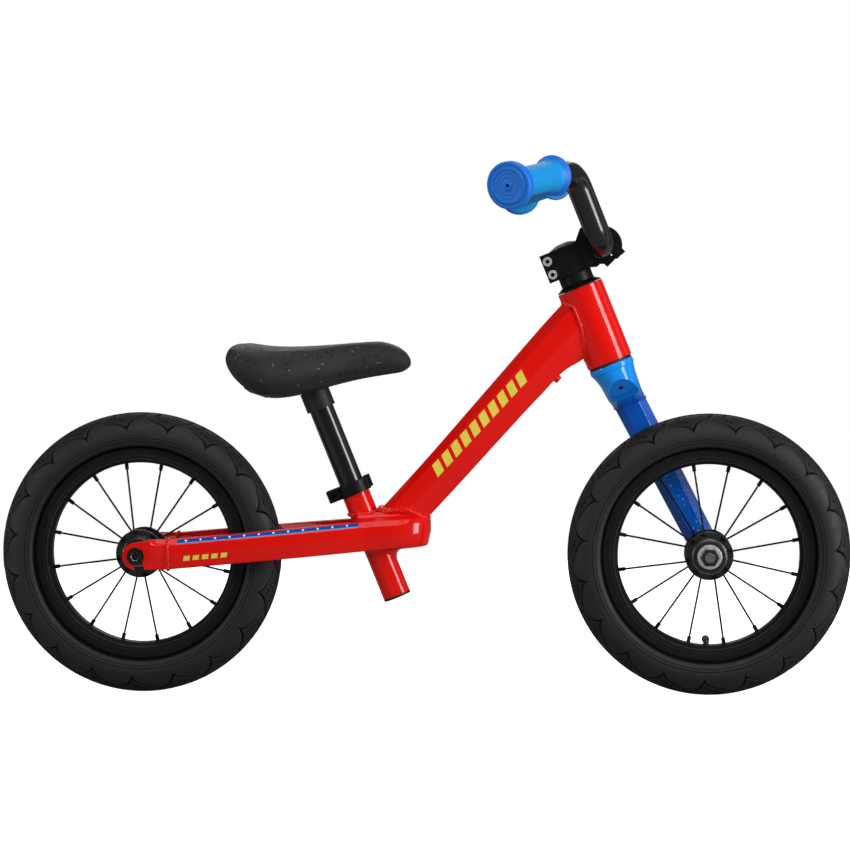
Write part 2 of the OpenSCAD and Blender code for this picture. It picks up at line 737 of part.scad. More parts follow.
module stem_faceplate() {
    color(black) difference() {
        at_split() side_plate(clamp_half_w) union() {
            circle(r = 20.5);
            translate([0, -20.5]) square([10, 20.5]);
            translate([0, 0]) square([9.5, 27]);
        }
        at_split() translate([-far + split, -far / 2, -far / 2]) cube([far, far, far]);
        at_bar() facing_right() cylinder(h = far, r = bar_r + slip, center = true);
        at_faceplate_bolts() cylinder(h = 60, r = 2.5 + slip, center = true);
        at_faceplate_bolts() translate([0, 0, 8]) cylinder(h = 30, r = 4.4);
    }
}
module stem_faceplate_bolts() color(steel) at_faceplate_bolts()
    translate([0, 0, 8]) socket_screw(2.5, 20, 4.2, 4.5, 4);
module stem_pinch_bolts() color(silver) at_pinch_bolts()
    translate([0, 0, 12.5]) socket_screw(2.5, 26, 4.8, 5, 4);

cap_r = 16;
cap_h = 4.2;
module top_cap() {
    dome_r = (cap_r * cap_r + cap_h * cap_h) / (2 * cap_h);
    color(black) at_steering() translate([0, 0, stem_top]) difference() {
        intersection() {
            translate([0, 0, cap_h - dome_r]) sphere(r = dome_r, $fn = 128);
            cylinder(h = cap_h + cut, r = cap_r);
        }
        translate([0, 0, -cut]) cylinder(h = 10, r = 3 + slip);
        translate([0, 0, 1]) cylinder(h = 10, r = 5.3);
    }
}
module top_cap_bolt() color(steel) at_steering()
    translate([0, 0, stem_top + 1]) socket_screw(3, 30, 5, 2.8, 4);
module star_nut() color(steel) at_steering() translate([0, 0, stem_top - 24]) {
    for (level = [0, 8]) translate([0, 0, level]) ring(steerer_r - 2.4, 3 + slip, 1.2);
    ring(4.6, 3 + slip, 9);
}

// ---- handlebar ----
// Corners of the handlebar's centre line on the rider's left; the other side is its mirror.
bar_corners = [[bar_x, 0, bar_z], [bar_x, 45, bar_z], [bar_x - 30, 78, bar_z + 75],
    [bar_x - 93, bar_half_w, bar_z + 57]];
bend_r = 30;
bar_last = unit(bar_corners[3] - bar_corners[2]);
grip_end = bar_corners[3];
bar_tip = grip_end - bar_last * 4;
grip_start = grip_end - bar_last * grip_l;

bar_wall = 2;
bend_lap = 0.3;                 // how far a straight stretch laps over the end of a bend
bend_thin = 0.05;               // how much a bend's wall lies inside the wall of the stretches
function turn_angle(a, b) = acos(a * b);
// A straight stretch of tube from a to b.
module tube_stretch(a, b, r, inner_r) {
    d = b - a;
    translate(a) rotate([0, acos(d.z / norm(d)), atan2(d.y, d.x)]) linear_extrude(norm(d)) difference() {
        circle(r = r);
        circle(r = inner_r);
    }
}
// One bend of tube at corner p, from direction a to direction b.
module tube_bend(p, a, b, r, inner_r) {
    angle = turn_angle(a, b);
    inward = unit(b - a * (a * b));
    centre = p - a * bend_r * tan(angle / 2) + inward * bend_r;
    axis = cross(-inward, a);
    multmatrix([
        [-inward.x, a.x, axis.x, centre.x],
        [-inward.y, a.y, axis.y, centre.y],
        [-inward.z, a.z, axis.z, centre.z],
        [0, 0, 0, 1]
    ]) rotate_extrude(angle = angle) translate([bend_r, 0]) difference() {
        circle(r = r - bend_thin);
        circle(r = inner_r + bend_thin);
    }
}
// The handlebar from the stem to the rider's left.
module bar_half() {
    d0 = [0, 1, 0];
    d1 = unit(bar_corners[2] - bar_corners[1]);
    t1 = bend_r * tan(turn_angle(d0, d1) / 2);
    t2 = bend_r * tan(turn_angle(d1, bar_last) / 2);
    inner_r = bar_end_r - bar_wall;
    step = grip_start + bar_last * 2;
    tube_bend(bar_corners[1], d0, d1, bar_r, inner_r);
    tube_stretch(bar_corners[1] + d1 * (t1 - bend_lap), bar_corners[2] - d1 * (t2 - bend_lap),
        bar_r, inner_r);
    tube_bend(bar_corners[2], d1, bar_last, bar_r, inner_r);
    tube_stretch(bar_corners[2] + bar_last * (t2 - bend_lap), step, bar_r, inner_r);
    tube_stretch(step - bar_last * bend_lap, bar_tip, bar_end_r, inner_r + bend_thin);
}
module handlebar() {
    first = unit(bar_corners[2] - bar_corners[1]);
    straight = [0, bar_corners[1].y - bend_r * tan(turn_angle([0, 1, 0], first) / 2) + bend_lap, 0];
    color(black) {
        tube_stretch(bar_corners[0] - straight, bar_corners[0] + straight, bar_r, bar_end_r - bar_wall);
        bar_half();
        mirror([0, 1, 0]) bar_half();
    }
}

// Local z runs out along the grip, from its inner end.
module at_grip() {
    side = unit(cross([0, 0, 1], bar_last));
    up = cross(bar_last, side);
    multmatrix([
        [side.x, up.x, bar_last.x, grip_start.x],
        [side.y, up.y, bar_last.y, grip_start.y],
        [side.z, up.z, bar_last.z, grip_start.z],
        [0, 0, 0, 1]
    ]) children();
}
module grip() {
    body_r = 15;
    color(paint_blue) at_grip() difference() {
        union() {
            cylinder(h = grip_l - 2, r = body_r);
            cylinder(h = 5, r = 20.5);
            translate([0, 0, 5]) cylinder(h = 6, r1 = 20.5, r2 = body_r);
            translate([0, 0, grip_l - 20]) cylinder(h = 8, r1 = body_r, r2 = 22);
            translate([0, 0, grip_l - 12]) cylinder(h = 9, r = 23.5);
            translate([0, 0, grip_l - 3]) cylinder(h = 3, r1 = 23.5, r2 = 19);
        }
        translate([0, 0, -cut]) cylinder(h = 3 + cut, r = bar_r + 0.2);
        translate([0, 0, -cut]) cylinder(h = grip_l - 4 + cut, r = bar_end_r + slip);
        cylinder(h = far, r = 1.8);
    }
}
module grip_left() grip();
module grip_right() mirror([0, 1, 0]) grip();

// ---- seat ----
post_low = 60;
collar_low = 209;
collar_h = 14;
post_top = collar_low + collar_h + 4;
module seatpost() color(black) at_seat() translate([0, 0, post_low])
    ring(post_r, post_r - 2, post_top - post_low);

// Saddle stations behind the nose: distance back, height of the top, height of the underside, half width
saddle_nose = seat_x + 17.3;
saddle_stations = [
    [0, 347.5, 341.5, 7], [3, 353.5, 338.2, 14], [10, 360.4, 335.4, 19.5], [21, 364.8, 333.4, 22.5],
    [35, 366.2, 331.2, 24.5], [55, 365.2, 327.6, 28], [82, 363, 321, 38], [108, 361.2, 313.6, 52],
    [134, 360.6, 308.8, 62], [152, 361.6, 308.3, 65], [168, 364, 313.5, 61], [180, 365.6, 322, 52],
    [190, 362.4, 334, 37], [195, 354, 344, 20]];
function saddle_rings() = [for (st = saddle_stations)
    let (mid = (st[1] + st[2]) / 2, half_h = (st[1] - st[2]) / 2)
    [for (p = round_section(st[3], half_h, 2.5, 40)) [saddle_nose - st[0], -p.x, mid + p.y]]
];
module saddle_form() skin(saddle_rings());
// The moulded pan fills a pocket in the underside, below a plane that rises towards the nose.
module pan_pocket(grow) {
    intersection() {
        translate([saddle_nose - 86, 0, 0]) rotate([0, -5, 0])
            translate([-far / 2, -far / 2, 326 - far + grow])
            cube([far, far, far]);
        linear_extrude(far) hull() {
            translate([saddle_nose - 145, 0]) circle(r = 44 + grow);
            translate([saddle_nose - 62, 0]) circle(r = 12 + grow);
        }
    }
}
module post_socket(radius, low, high) at_seat() translate([0, 0, low]) cylinder(h = high - low, r = radius);
module saddle_cover() {
    color(black) difference() {
        saddle_form();
        pan_pocket(0);
        post_socket(15.6, collar_low - 20, post_top + 3.3);
    }
}
module saddle_base() {
    color(dark) difference() {
        union() {
            intersection() {
                saddle_form();
                pan_pocket(-0.3);
            }
            post_socket(15.3, collar_low, post_top + 3);
        }
        post_socket(post_r + slip, collar_low - 20, post_top);
    }
}

module front_tyre() at_front_axle() tyre();
module front_inner_tube() at_front_axle() inner_tube(front_valve_angle);
module front_rim() at_front_axle() rim(front_valve_angle);
module front_spokes() at_front_axle() spokes();
module front_nipples() at_front_axle() nipples();
module front_hub() at_front_axle() hub();
module front_bearing_outer_rings() at_front_axle() wheel_outer_rings();
module front_bearing_balls() at_front_axle() wheel_balls();
module front_bearing_inner_rings() at_front_axle() wheel_inner_rings();
module front_valve() at_front_axle() valve(front_valve_angle);
module rear_tyre() at_rear_axle() tyre();
module rear_inner_tube() at_rear_axle() inner_tube(valve_angle);
module rear_rim() at_rear_axle() rim(valve_angle);
module rear_spokes() at_rear_axle() spokes();
module rear_nipples() at_rear_axle() nipples();
module rear_hub() at_rear_axle() hub();
module rear_bearing_outer_rings() at_rear_axle() wheel_outer_rings();
module rear_bearing_balls() at_rear_axle() wheel_balls();
module rear_bearing_inner_rings() at_rear_axle() wheel_inner_rings();
module rear_valve() at_rear_axle() valve(valve_angle);

head_tube();
main_tube();
seat_tube();
yoke();
stay_right();
stay_left();
dropout_right();
dropout_left();
seat_clamp();
seat_clamp_bolt();
seat_tube_plug();
headset_outer_races();
rear_axle();
rear_axle_bolts();
rear_axle_washers();
rear_axle_spacers();
rear_bearing_inner_rings();
steerer();
fork_crown();
fork_leg();
front_stub_axle();
front_axle_nut();
front_axle_washer();
front_bearing_inner_rings();
headset_inner_races();
headset_balls();
headset_lower_seal();
headset_top_cover();
headset_spacer();
stem();
stem_faceplate();
stem_faceplate_bolts();
stem_pinch_bolts();
top_cap();
top_cap_bolt();
star_nut();
handlebar();
grip_right();
grip_left();
seatpost();
saddle_base();
saddle_cover();
front_tyre();
front_inner_tube();
front_rim();
front_spokes();
front_nipples();
front_hub();
front_bearing_outer_rings();
front_bearing_balls();
front_valve();
rear_tyre();
rear_inner_tube();
rear_rim();
rear_spokes();
rear_nipples();
rear_hub();
rear_bearing_outer_rings();
rear_bearing_balls();
rear_valve();
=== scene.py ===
# Looks of the balance bike. Lengths in the tables are in millimetres and are scaled on the way into Blender.
import math

import bmesh
import bpy
import numpy as np
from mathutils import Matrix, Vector
from mathutils.bvhtree import BVHTree


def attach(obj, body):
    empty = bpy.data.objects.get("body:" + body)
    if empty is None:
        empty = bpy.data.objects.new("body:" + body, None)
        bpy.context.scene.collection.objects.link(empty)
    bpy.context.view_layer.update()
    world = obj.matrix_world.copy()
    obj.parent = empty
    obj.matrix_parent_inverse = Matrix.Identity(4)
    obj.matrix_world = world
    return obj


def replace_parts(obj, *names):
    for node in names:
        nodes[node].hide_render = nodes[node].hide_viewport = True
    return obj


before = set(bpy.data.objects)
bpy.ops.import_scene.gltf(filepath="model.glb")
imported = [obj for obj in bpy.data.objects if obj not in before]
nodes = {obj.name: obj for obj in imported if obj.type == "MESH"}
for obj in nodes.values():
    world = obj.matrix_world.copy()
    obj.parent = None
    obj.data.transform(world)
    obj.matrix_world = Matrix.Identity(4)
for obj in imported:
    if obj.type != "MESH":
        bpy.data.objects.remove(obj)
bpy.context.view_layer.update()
MM = 0.001
SIDES = ((-1, "right"), (1, "left"))      # the rider's sides, as signs of y
FRAME, FORK = ("frame", "frame_paint"), ("fork", "fork_paint")      # bodies, each with its paint's slot


# ---------------- materials
def new_material(name):
    """A material, its node tree and its shader."""
    material = bpy.data.materials.new(name)
    material.use_nodes = True
    return material, material.node_tree, material.node_tree.nodes["Principled BSDF"]


def feed(tree, node, values):
    """Sets a node's inputs, each to a value or to another node's output."""
    for key, value in values.items():
        if isinstance(value, bpy.types.NodeSocket):
            tree.links.new(value, node.inputs[key])
        else:
            node.inputs[key].default_value = value


def add(tree, kind, values):
    node = tree.nodes.new("ShaderNode" + kind)
    feed(tree, node, values)
    return node


def noise(tree, where, scale, detail, roughness=0.5):
    values = {"Vector": where, "Scale": scale, "Detail": detail, "Roughness": roughness}
    return add(tree, "TexNoise", values).outputs["Fac"]


def spread(tree, value, low, high, into_low=0.3, into_high=0.7):
    """A value from one range carried over to another."""
    values = {"Value": value, "From Min": into_low, "From Max": into_high, "To Min": low, "To Max": high}
    return add(tree, "MapRange", values).outputs["Result"]


def mixed(tree, factor, a, b):
    n = tree.nodes.new("ShaderNodeMix")
    n.data_type = "RGBA"
    a, b = [c if isinstance(c, bpy.types.NodeSocket) else (*c, 1) for c in (a, b)]
    feed(tree, n, {"Factor": factor, 6: a, 7: b})
    return n.outputs[2]


def surface(name, colour, rough, metallic=0.0, coat=0.0, mottle=(45, 0.05), rough_by=0.06, grain=(),
            cells=None, specular=0.5, fade=None):
    """A finish from noise at real scale. mottle is (per metre, share), grain holds (per metre, height in
    metres), cells is the same for leather's cells, and fade is (second colour, direction, from, to)."""
    material, tree, shader = new_material(name)
    place = add(tree, "TexCoord", {}).outputs["Object"]
    per_metre, share = mottle
    cloud = spread(tree, noise(tree, place, per_metre, 4.0, 0.6), 0, 1)
    shade = mixed(tree, cloud, [c * (1 - share) for c in colour], [min(1, c * (1 + share)) for c in colour])
    if fade:
        second, direction, start, end = fade
        along = add(tree, "VectorMath", {0: place, 1: direction})
        along.operation = "DOT_PRODUCT"
        shade = mixed(tree, spread(tree, along.outputs["Value"], 0, 1, start, end), shade, second)
    rubs = noise(tree, place, per_metre * 3.1, 5.0, 0.65)
    rubbed = spread(tree, rubs, max(0.02, rough - rough_by), rough + rough_by)
    heights = [(noise(tree, place, scale, 2.0), height) for scale, height in grain]
    if cells:
        leather = add(tree, "TexVoronoi", {"Vector": place, "Scale": cells[0]})
        leather.feature = "DISTANCE_TO_EDGE"
        heights.append((spread(tree, leather.outputs["Distance"], 0, 1, 0.0, 0.18), cells[1]))
    relief = {}
    for value, height in heights:
        bump = add(tree, "Bump", {"Strength": 1.0, "Distance": height, "Height": value, **relief})
        relief = {"Normal": bump.outputs["Normal"]}
    feed(tree, shader, {"Base Color": shade, "Roughness": rubbed, "Metallic": metallic, "Coat Weight": coat,
                        "Coat Roughness": 0.04, "Specular IOR Level": specular, **relief})
    return material


PAINT = dict(coat=0.7, rough_by=0.03, grain=((420, 0.00002),), specular=0.06)
BLUE, DEEP = (0.004, 0.28, 0.88), (0.0008, 0.106, 0.56)
red = surface("red_paint", (0.78, 0.0040, 0.0013), 0.34, mottle=(18, 0.035), **PAINT)
blue = surface("blue_paint", BLUE, 0.30, mottle=(18, 0.04), **PAINT)
deep_blue = surface("deep_blue_paint", DEEP, 0.30, mottle=(18, 0.05), **PAINT)
flat_blue = surface("flat_blue_paint", (0.001, 0.13, 0.54), 0.30, mottle=(18, 0.05), **PAINT)
# The crown's paint runs from light blue to the leg's deep blue, down the steering axis
CROWN_FADE = (DEEP, (-0.3746, 0, 0.9272), 0.2228, 0.2008)
crown_blue = surface("crown_paint", BLUE, 0.30, mottle=(18, 0.04), fade=CROWN_FADE, **PAINT)
BAND = dict(mottle=(60, 0.05), rough_by=0.03, specular=0.1)
band_blue = surface("band_blue", (0.004, 0.060, 0.33), 0.45, **BAND)
# The band's pale edge strip is a painted highlight along the chamfer
band_painted_highlight = surface("band_painted_highlight", (0.14, 0.34, 0.70), 0.45, **BAND)
mark_white = surface("mark_white", (0.82, 0.86, 0.9), 0.35, mottle=(90, 0.04), **PAINT)
mark_pale = surface("mark_pale_blue", (0.30, 0.45, 0.62), 0.35, mottle=(90, 0.05), **PAINT)
mark_yellow = surface("mark_yellow", (0.80, 0.68, 0.08), 0.35, mottle=(80, 0.05), **PAINT)
gloss_black = surface("gloss_black_paint", (0.004, 0.004, 0.0042), 0.24, coat=0.6, mottle=(30, 0.15),
                      rough_by=0.04, grain=((500, 0.00002),), specular=0.4)
ALLOY = dict(mottle=(40, 0.18), rough_by=0.07, grain=((1500, 0.00002),))
satin_black = surface("satin_black_alloy", (0.0032, 0.0032, 0.0034), 0.40, specular=0.2, **ALLOY)
hub_black = surface("hub_black_alloy", (0.009, 0.009, 0.0093), 0.34, coat=0.25, **ALLOY)
RIM_GRAIN = ((1800, 0.000015),)
rim_black = surface("rim_black_alloy", (0.0065,) * 3, 0.40, mottle=(35, 0.2), grain=RIM_GRAIN, specular=0.2)
rim_edge = surface("rim_edge_alloy", (0.045, 0.045, 0.046), 0.36, mottle=(60, 0.2), grain=RIM_GRAIN,
                   specular=0.4)
wire_black = surface("black_wire", (0.0025, 0.0025, 0.003), 0.4, mottle=(120, 0.2), rough_by=0.08,
                     specular=0.15)
bright = surface("bright_steel", (0.92,) * 3, 0.42, metallic=1.0, mottle=(160, 0.10), rough_by=0.08,
                 grain=((2600, 0.00001),))
STEEL = dict(metallic=1.0, mottle=(160, 0.18), rough_by=0.1, grain=((2200, 0.00002),))
dull = surface("dull_steel", (0.32, 0.32, 0.31), 0.34, **STEEL)
dark_steel = surface("dark_steel", (0.075, 0.075, 0.078), 0.36, **STEEL)
bare_alloy = surface("bare_alloy", (0.62, 0.62, 0.64), 0.30, metallic=1.0, mottle=(70, 0.08), rough_by=0.07,
                     grain=((1500, 0.00001),))
tyre_rubber = surface("tyre_rubber", (0.0078, 0.0082, 0.0088), 0.58, mottle=(26, 0.16), rough_by=0.09,
                      grain=((1600, 0.00008), (300, 0.00010)), specular=0.4)
tread_rubber = surface("tread_rubber", (0.0058, 0.0060, 0.0064), 0.66, mottle=(40, 0.2), rough_by=0.08,
                       grain=((1300, 0.00014), (260, 0.0001)), specular=0.35)
# Near-black painted shade, for the tyres' groove floors, thin wall rings and gap at the rim, and for bolt
# sockets
painted_shade_black = surface("painted_shade_black", (0.0016, 0.0016, 0.0018), 0.75, mottle=(60, 0.2),
                        grain=((1300, 0.00008),), specular=0.1)
tube_rubber = surface("tube_rubber", (0.006,) * 3, 0.6, mottle=(60, 0.15), rough_by=0.08,
                      grain=((1200, 0.00006),))
GRIP = dict(rough_by=0.05, grain=((1700, 0.00005),))
grip_body = surface("grip_rubber", (0.003, 0.28, 0.68), 0.50, mottle=(70, 0.05), specular=0.3, **GRIP)
grip_deep = surface("grip_rubber_deep", (0.003, 0.165, 0.68), 0.46, mottle=(70, 0.07), specular=0.35, **GRIP)
vinyl = surface("saddle_vinyl", (0.0270, 0.0270, 0.0274), 0.50, mottle=(40, 0.15), rough_by=0.07,
                cells=(1050, 0.00010), grain=((420, 0.00010),), specular=0.16)
STROKE = dict(mottle=(90, 0.1), rough_by=0.05)
# The dark strokes' colour is painted shade of pressed-in marks; the pale strokes are a paler vinyl
pressed_mark_shade = surface("saddle_vinyl_pressed_shade", (0.0012,) * 3, 0.6, specular=0.1, **STROKE)
pale_stroke_vinyl = surface("saddle_vinyl_pale_stroke", (0.20, 0.20, 0.202), 0.45, specular=0.3, **STROKE)
plastic = surface("moulded_plastic", (0.008, 0.008, 0.0083), 0.5, mottle=(50, 0.12), grain=((2100, 0.00005),),
                  specular=0.35)


def on_wheels(*kinds):
    return [f"{end}_{kind}" for kind in kinds for end in ("front", "rear")]


BEARINGS = on_wheels("bearing_inner_rings", "bearing_outer_rings", "bearing_balls")
HEADSET = ["headset_outer_races", "headset_inner_races", "headset_balls"]
FINISH = {
    red: ["head_tube", "main_tube", "seat_tube", "yoke", "stay_right", "stay_left", "dropout_right",
          "dropout_left"],
    crown_blue: ["fork_crown"],
    deep_blue: ["fork_leg"],
    satin_black: ["seat_clamp", "headset_top_cover", "headset_spacer", "stem", "stem_faceplate", "top_cap"],
    hub_black: on_wheels("hub"),
    rim_black: on_wheels("rim"),
    gloss_black: ["handlebar", "seatpost", "rear_axle_bolts", "rear_axle_washers"],
    wire_black: on_wheels("spokes", "nipples") + ["seat_clamp_bolt", "stem_faceplate_bolts", "top_cap_bolt"],
    bright: ["front_axle_washer", "stem_pinch_bolts"],
    dull: ["front_stub_axle", "rear_axle", "star_nut"] + HEADSET + BEARINGS,
    dark_steel: ["front_axle_nut"],
    bare_alloy: ["steerer", "rear_axle_spacers"],
    tyre_rubber: on_wheels("tyre"),
    tube_rubber: on_wheels("inner_tube", "valve") + ["headset_lower_seal"],
    plastic: ["seat_tube_plug", "saddle_base"],
    vinyl: ["saddle_cover"],
    grip_deep: ["grip_right", "grip_left"],
}
for material, names in FINISH.items():
    for name in names:
        nodes[name].data.materials.clear()
        nodes[name].data.materials.append(material)


# ---------------- object and mesh helpers
SHARP = math.radians(32)


def new_object(name, data):
    ob = bpy.data.objects.new(name, data)
    bpy.context.scene.collection.objects.link(ob)
    return ob


def modify(ob, kind, **settings):
    modifier = ob.modifiers.new(kind.lower(), kind)
    for key, value in settings.items():
        setattr(modifier, key, value)
    return modifier


def weighted_normals(ob, keep_sharp=True):
    modify(ob, "WEIGHTED_NORMAL", weight=80, keep_sharp=keep_sharp)


def soften(node, width):
    """Rounds a CAD node's sharp edges and smooths its shading, with modifiers only."""
    ob = nodes[node]
    shade_smooth(ob.data)
    modify(ob, "WELD", merge_threshold=0.00001)
    if width:
        modify(ob, "BEVEL", width=width * MM, segments=2, limit_method="ANGLE", angle_limit=SHARP,
               use_clamp_overlap=True, harden_normals=False)
    else:
        modify(ob, "EDGE_SPLIT", split_angle=SHARP)
    weighted_normals(ob)


def even_normals(ob):
    ob.data.set_sharp_from_angle(angle=math.radians(58))
    weighted_normals(ob)


def shade_smooth(mesh, smooth=True):
    mesh.polygons.foreach_set("use_smooth", [smooth] * len(mesh.polygons))


def piece(name, points, faces, material, body, slot, weighted=False, closed=True):
    """A visible piece that rides on a body. weighted evens its shading; closed turns its faces outward."""
    mesh = bpy.data.meshes.new(name)
    mesh.from_pydata((np.asarray(points, float) * MM).tolist(), [], faces)
    if closed:
        bm = bmesh.new()
        bm.from_mesh(mesh)
        bmesh.ops.recalc_face_normals(bm, faces=bm.faces)
        bm.to_mesh(mesh)
        bm.free()
    shade_smooth(mesh)
    mesh.materials.append(material)
    ob = new_object(name, mesh)
    if weighted:
        even_normals(ob)
    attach(ob, body)
    return ob


def turns(count):
    """Angles spread evenly round a circle."""
    return np.arange(count) * 2 * math.pi / count


def grid_faces(rows, columns, wrap_rows=False, wrap_columns=True):
    faces = []
    for i in range(rows if wrap_rows else rows - 1):
        for j in range(columns if wrap_columns else columns - 1):
            a, b = i * columns, ((i + 1) % rows) * columns
            k = (j + 1) % columns
            faces.append((a + j, a + k, b + k, b + j))
    return faces


def mark_faces(ob, marks, *materials):
    """Gives faces the materials after the first one, by number."""
    for material in materials:
        ob.data.materials.append(material)
    ob.data.polygons.foreach_set("material_index", marks.reshape(-1).tolist())


def loft(name, rings, material, body, slot, caps=True, weighted=True):
    rings = np.asarray(rings, float)
    rows, columns = rings.shape[:2]
    faces = grid_faces(rows, columns)
    if caps:
        faces.append(tuple(range(columns - 1, -1, -1)))
        faces.append(tuple((rows - 1) * columns + j for j in range(columns)))
    return piece(name, rings.reshape(-1, 3), faces, material, body, slot, weighted)


def patches(name, grids, material, body, slot):
    """Thin open patches, each through a grid of points."""
    pts, faces = [], []
    for grid in grids:
        grid = np.asarray(grid, float)
        start = len(pts)
        pts += grid.reshape(-1, 3).tolist()
        faces += [tuple(start + i for i in f) for f in grid_faces(*grid.shape[:2], wrap_columns=False)]
    return piece(name, pts, faces, material, body, slot, closed=False)


def revolve(name, profile, place, material, body, slot, count=96, closed_profile=True, weighted=False):
    """profile holds (radius, along) pairs; place turns local points, z along the axis, into the bike's frame.
    An open profile gets flat ends."""
    profile = np.asarray(profile, float)
    a = turns(count)
    pts = np.stack([profile[:, 0, None] * np.cos(a), profile[:, 0, None] * np.sin(a),
                    np.repeat(profile[:, 1, None], count, 1)], -1)
    flat = apply(place, pts.reshape(-1, 3))
    faces = grid_faces(len(profile), count, wrap_rows=closed_profile)
    if not closed_profile:
        faces.append(tuple(range(count - 1, -1, -1)))
        faces.append(tuple((len(profile) - 1) * count + j for j in range(count)))
    return piece(name, flat, faces, material, body, slot, weighted)


def points_of(mesh):
    return np.array([v.co for v in mesh.vertices])


def set_points(mesh, points):
    mesh.vertices.foreach_set("co", points.ravel())
    mesh.update()


def bake(ob):
    """Applies an object's modifiers."""
    bpy.context.view_layer.update()
    evaluated = ob.evaluated_get(bpy.context.evaluated_depsgraph_get())
    mesh = bpy.data.meshes.new_from_object(evaluated)
    ob.modifiers.clear()
    ob.data = mesh
    shade_smooth(mesh)


def drill(shell, profile, place):
    """Cuts a round hole, a revolved profile, out of a shell."""
    hole = revolve("drill", profile, place, shell.data.materials[0], *FRAME, count=48, closed_profile=False)
    modify(shell, "BOOLEAN", object=hole, solver="EXACT")
    bake(shell)
    bpy.data.objects.remove(hole)


def apply(place, points):
    """Local points turned and moved by a place, which is (matrix, origin)."""
    matrix, origin = place
    return np.asarray(points, float) @ np.asarray(matrix, float).T + np.asarray(origin, float)


def unit(v):
    v = np.asarray(v, float)
    return v / np.linalg.norm(v)


def rounded(corners, radius, steps=4):
    """A closed outline with its corners rounded to that radius, as points."""
    corners = np.asarray(corners, float)
    out = []
    n = len(corners)
    for i in range(n):
        p, a, b = corners[i], corners[i - 1], corners[(i + 1) % n]
        u, v = unit(a - p), unit(b - p)
        half = math.acos(max(-1, min(1, float(u @ v)))) / 2
        reach = min(radius / math.tan(half), 0.45 * np.linalg.norm(a - p), 0.45 * np.linalg.norm(b - p))
        r = reach * math.tan(half)
        centre = p + unit(u + v) * (r / math.sin(half))
        s, e = p + u * reach - centre, p + v * reach - centre
        total = math.acos(max(-1, min(1, float(s @ e) / (r * r))))
        for k in range(steps + 1):
            t = k / steps
            out.append(centre + (s * math.sin((1 - t) * total) + e * math.sin(t * total)) / math.sin(total))
    return np.array(out)


def both_sides(half):
    """A closed outline from its half at positive x."""
    return half + [(-x, y) for x, y in half[::-1]]


def smooth_steps(keys, at):
    """Smooth curves through rows of keys, whose first column is the place along."""
    keys = np.asarray(keys, float)
    x, y = keys[:, 0], keys[:, 1:]
    slope = np.gradient(y, x, axis=0)
    at = np.asarray(at, float)
    i = np.clip(np.searchsorted(x, at, side="right") - 1, 0, len(x) - 2)
    h = (x[i + 1] - x[i])[:, None]
    t = (at - x[i])[:, None] / h
    return ((1 + 2 * t) * (1 - t) ** 2 * y[i] + t * (1 - t) ** 2 * h * slope[i]
            + t * t * (3 - 2 * t) * y[i + 1] + t * t * (t - 1) * h * slope[i + 1])


# ---------------- places of the part
TILT = math.radians(22)
SIN, COS = math.sin(TILT), math.cos(TILT)
RING_R, TYRE_R = 123.0, 23.5               # how far out the tyre's middle runs, and its section's radius
WHEEL_R = RING_R + TYRE_R
REAR, FRONT = np.array([-295.0, 0, WHEEL_R]), np.array([295.0, 0, WHEEL_R])
HEAD = np.array([192.1754, 0, 346.0087])
SEAT = np.array([-28.7, 0, 103.1])
AXIS = np.array([-SIN, 0, COS])            # up along the steering axis, and along the seat tube
FORE = np.array([COS, 0, SIN])
LEFT = np.array([0, 1.0, 0])
UP = np.array([0, 0, 1.0])
LEANING = np.stack([FORE, LEFT, AXIS], 1)
STEERING, SEATING = (LEANING, HEAD), (LEANING, SEAT)
# Local x forward, y up, z to the rider's right
FACING_RIGHT = np.stack([[1, 0, 0], [0, 0, 1], [0, -1, 0]], 1)
REAR_AXLE, FRONT_AXLE = (FACING_RIGHT, REAR), (FACING_RIGHT, FRONT)


# ---------------- tyres
REPEATS = 19
PITCH = 360 / REPEATS
COLUMNS = 72                               # columns of faces in one repeat
# Grooves of one repeat: places as (degrees round the wheel, degrees round the section), width, depth
RIGHT_ARM = [(0, 70), (-0.8, 60), (-2.1, 49), (-3.9, 41), (-6.0, 34), (-8.0, 25), (-9.3, 10)]
LEFT_ARM = [(0, 70), (1.4, 62), (3.4, 56), (5.8, 50.5), (8.0, 46.5), (9.4, 43), (10.2, 37.5), (11.8, 35.5)]
GROOVES = [(RIGHT_ARM, 0.85, 1.6), (LEFT_ARM, 0.80, 1.5), ([(0, 68), (-0.1, 76)], 0.6, 0.6),
           ([(1.2, 40), (2.4, 45), (3.1, 37), (4.5, 41), (5.2, 34)], 0.65, 0.9),
           ([(-10, 9.5), (10, 9.5)], 1.2, 1.9), ([(-3, 8), (1.5, 0), (-3, -8)], 0.8, 1.0),
           ([(6, 9), (5, 20), (6.4, 27)], 0.85, 1.2)]
# Thin rings of painted shade and raised ribs round the wall, in degrees round the section
WALL_RINGS = ((96.2, 97.8), (104.2, 105.8))
WALL_RIBS = (84, 92, 101)
RIB = 0.28                                 # how far a rib stands up
BEAD_LINE = np.array([[112.1, 19.9], [111.5, 18.4], [111.2, 16.6], [111.0, 12.2], [106, 11.3], [102.2, 11.0],
                      [102.0, 8.2]])
TREAD, GROOVE = 1, 2                       # places of the tread rubber and of the near-black painted shade among a tyre's materials


def groove_depth(phi, theta):
    """Depth in millimetres at places given in degrees, for one side's pattern."""
    depth = np.zeros_like(phi)
    along = np.radians(1) * (RING_R + TYRE_R * np.cos(np.radians(theta)))
    across = np.radians(1) * TYRE_R
    for line, width, deep in GROOVES:
        for (p0, t0), (p1, t1) in zip(line, line[1:]):
            for shift in (-PITCH, 0, PITCH):
                ax, ay = (phi - p0 - shift) * along, (theta - t0) * across
                bx, by = (p1 - p0) * along, (t1 - t0) * across
                k = np.clip((ax * bx + ay * by) / (bx * bx + by * by), 0, 1)
                gap = np.hypot(ax - k * bx, ay - k * by)
                wall = np.clip((width + 0.3 - gap) / 0.6, 0, 1)
                depth = np.maximum(depth, deep * wall * wall * (3 - 2 * wall))
    return depth


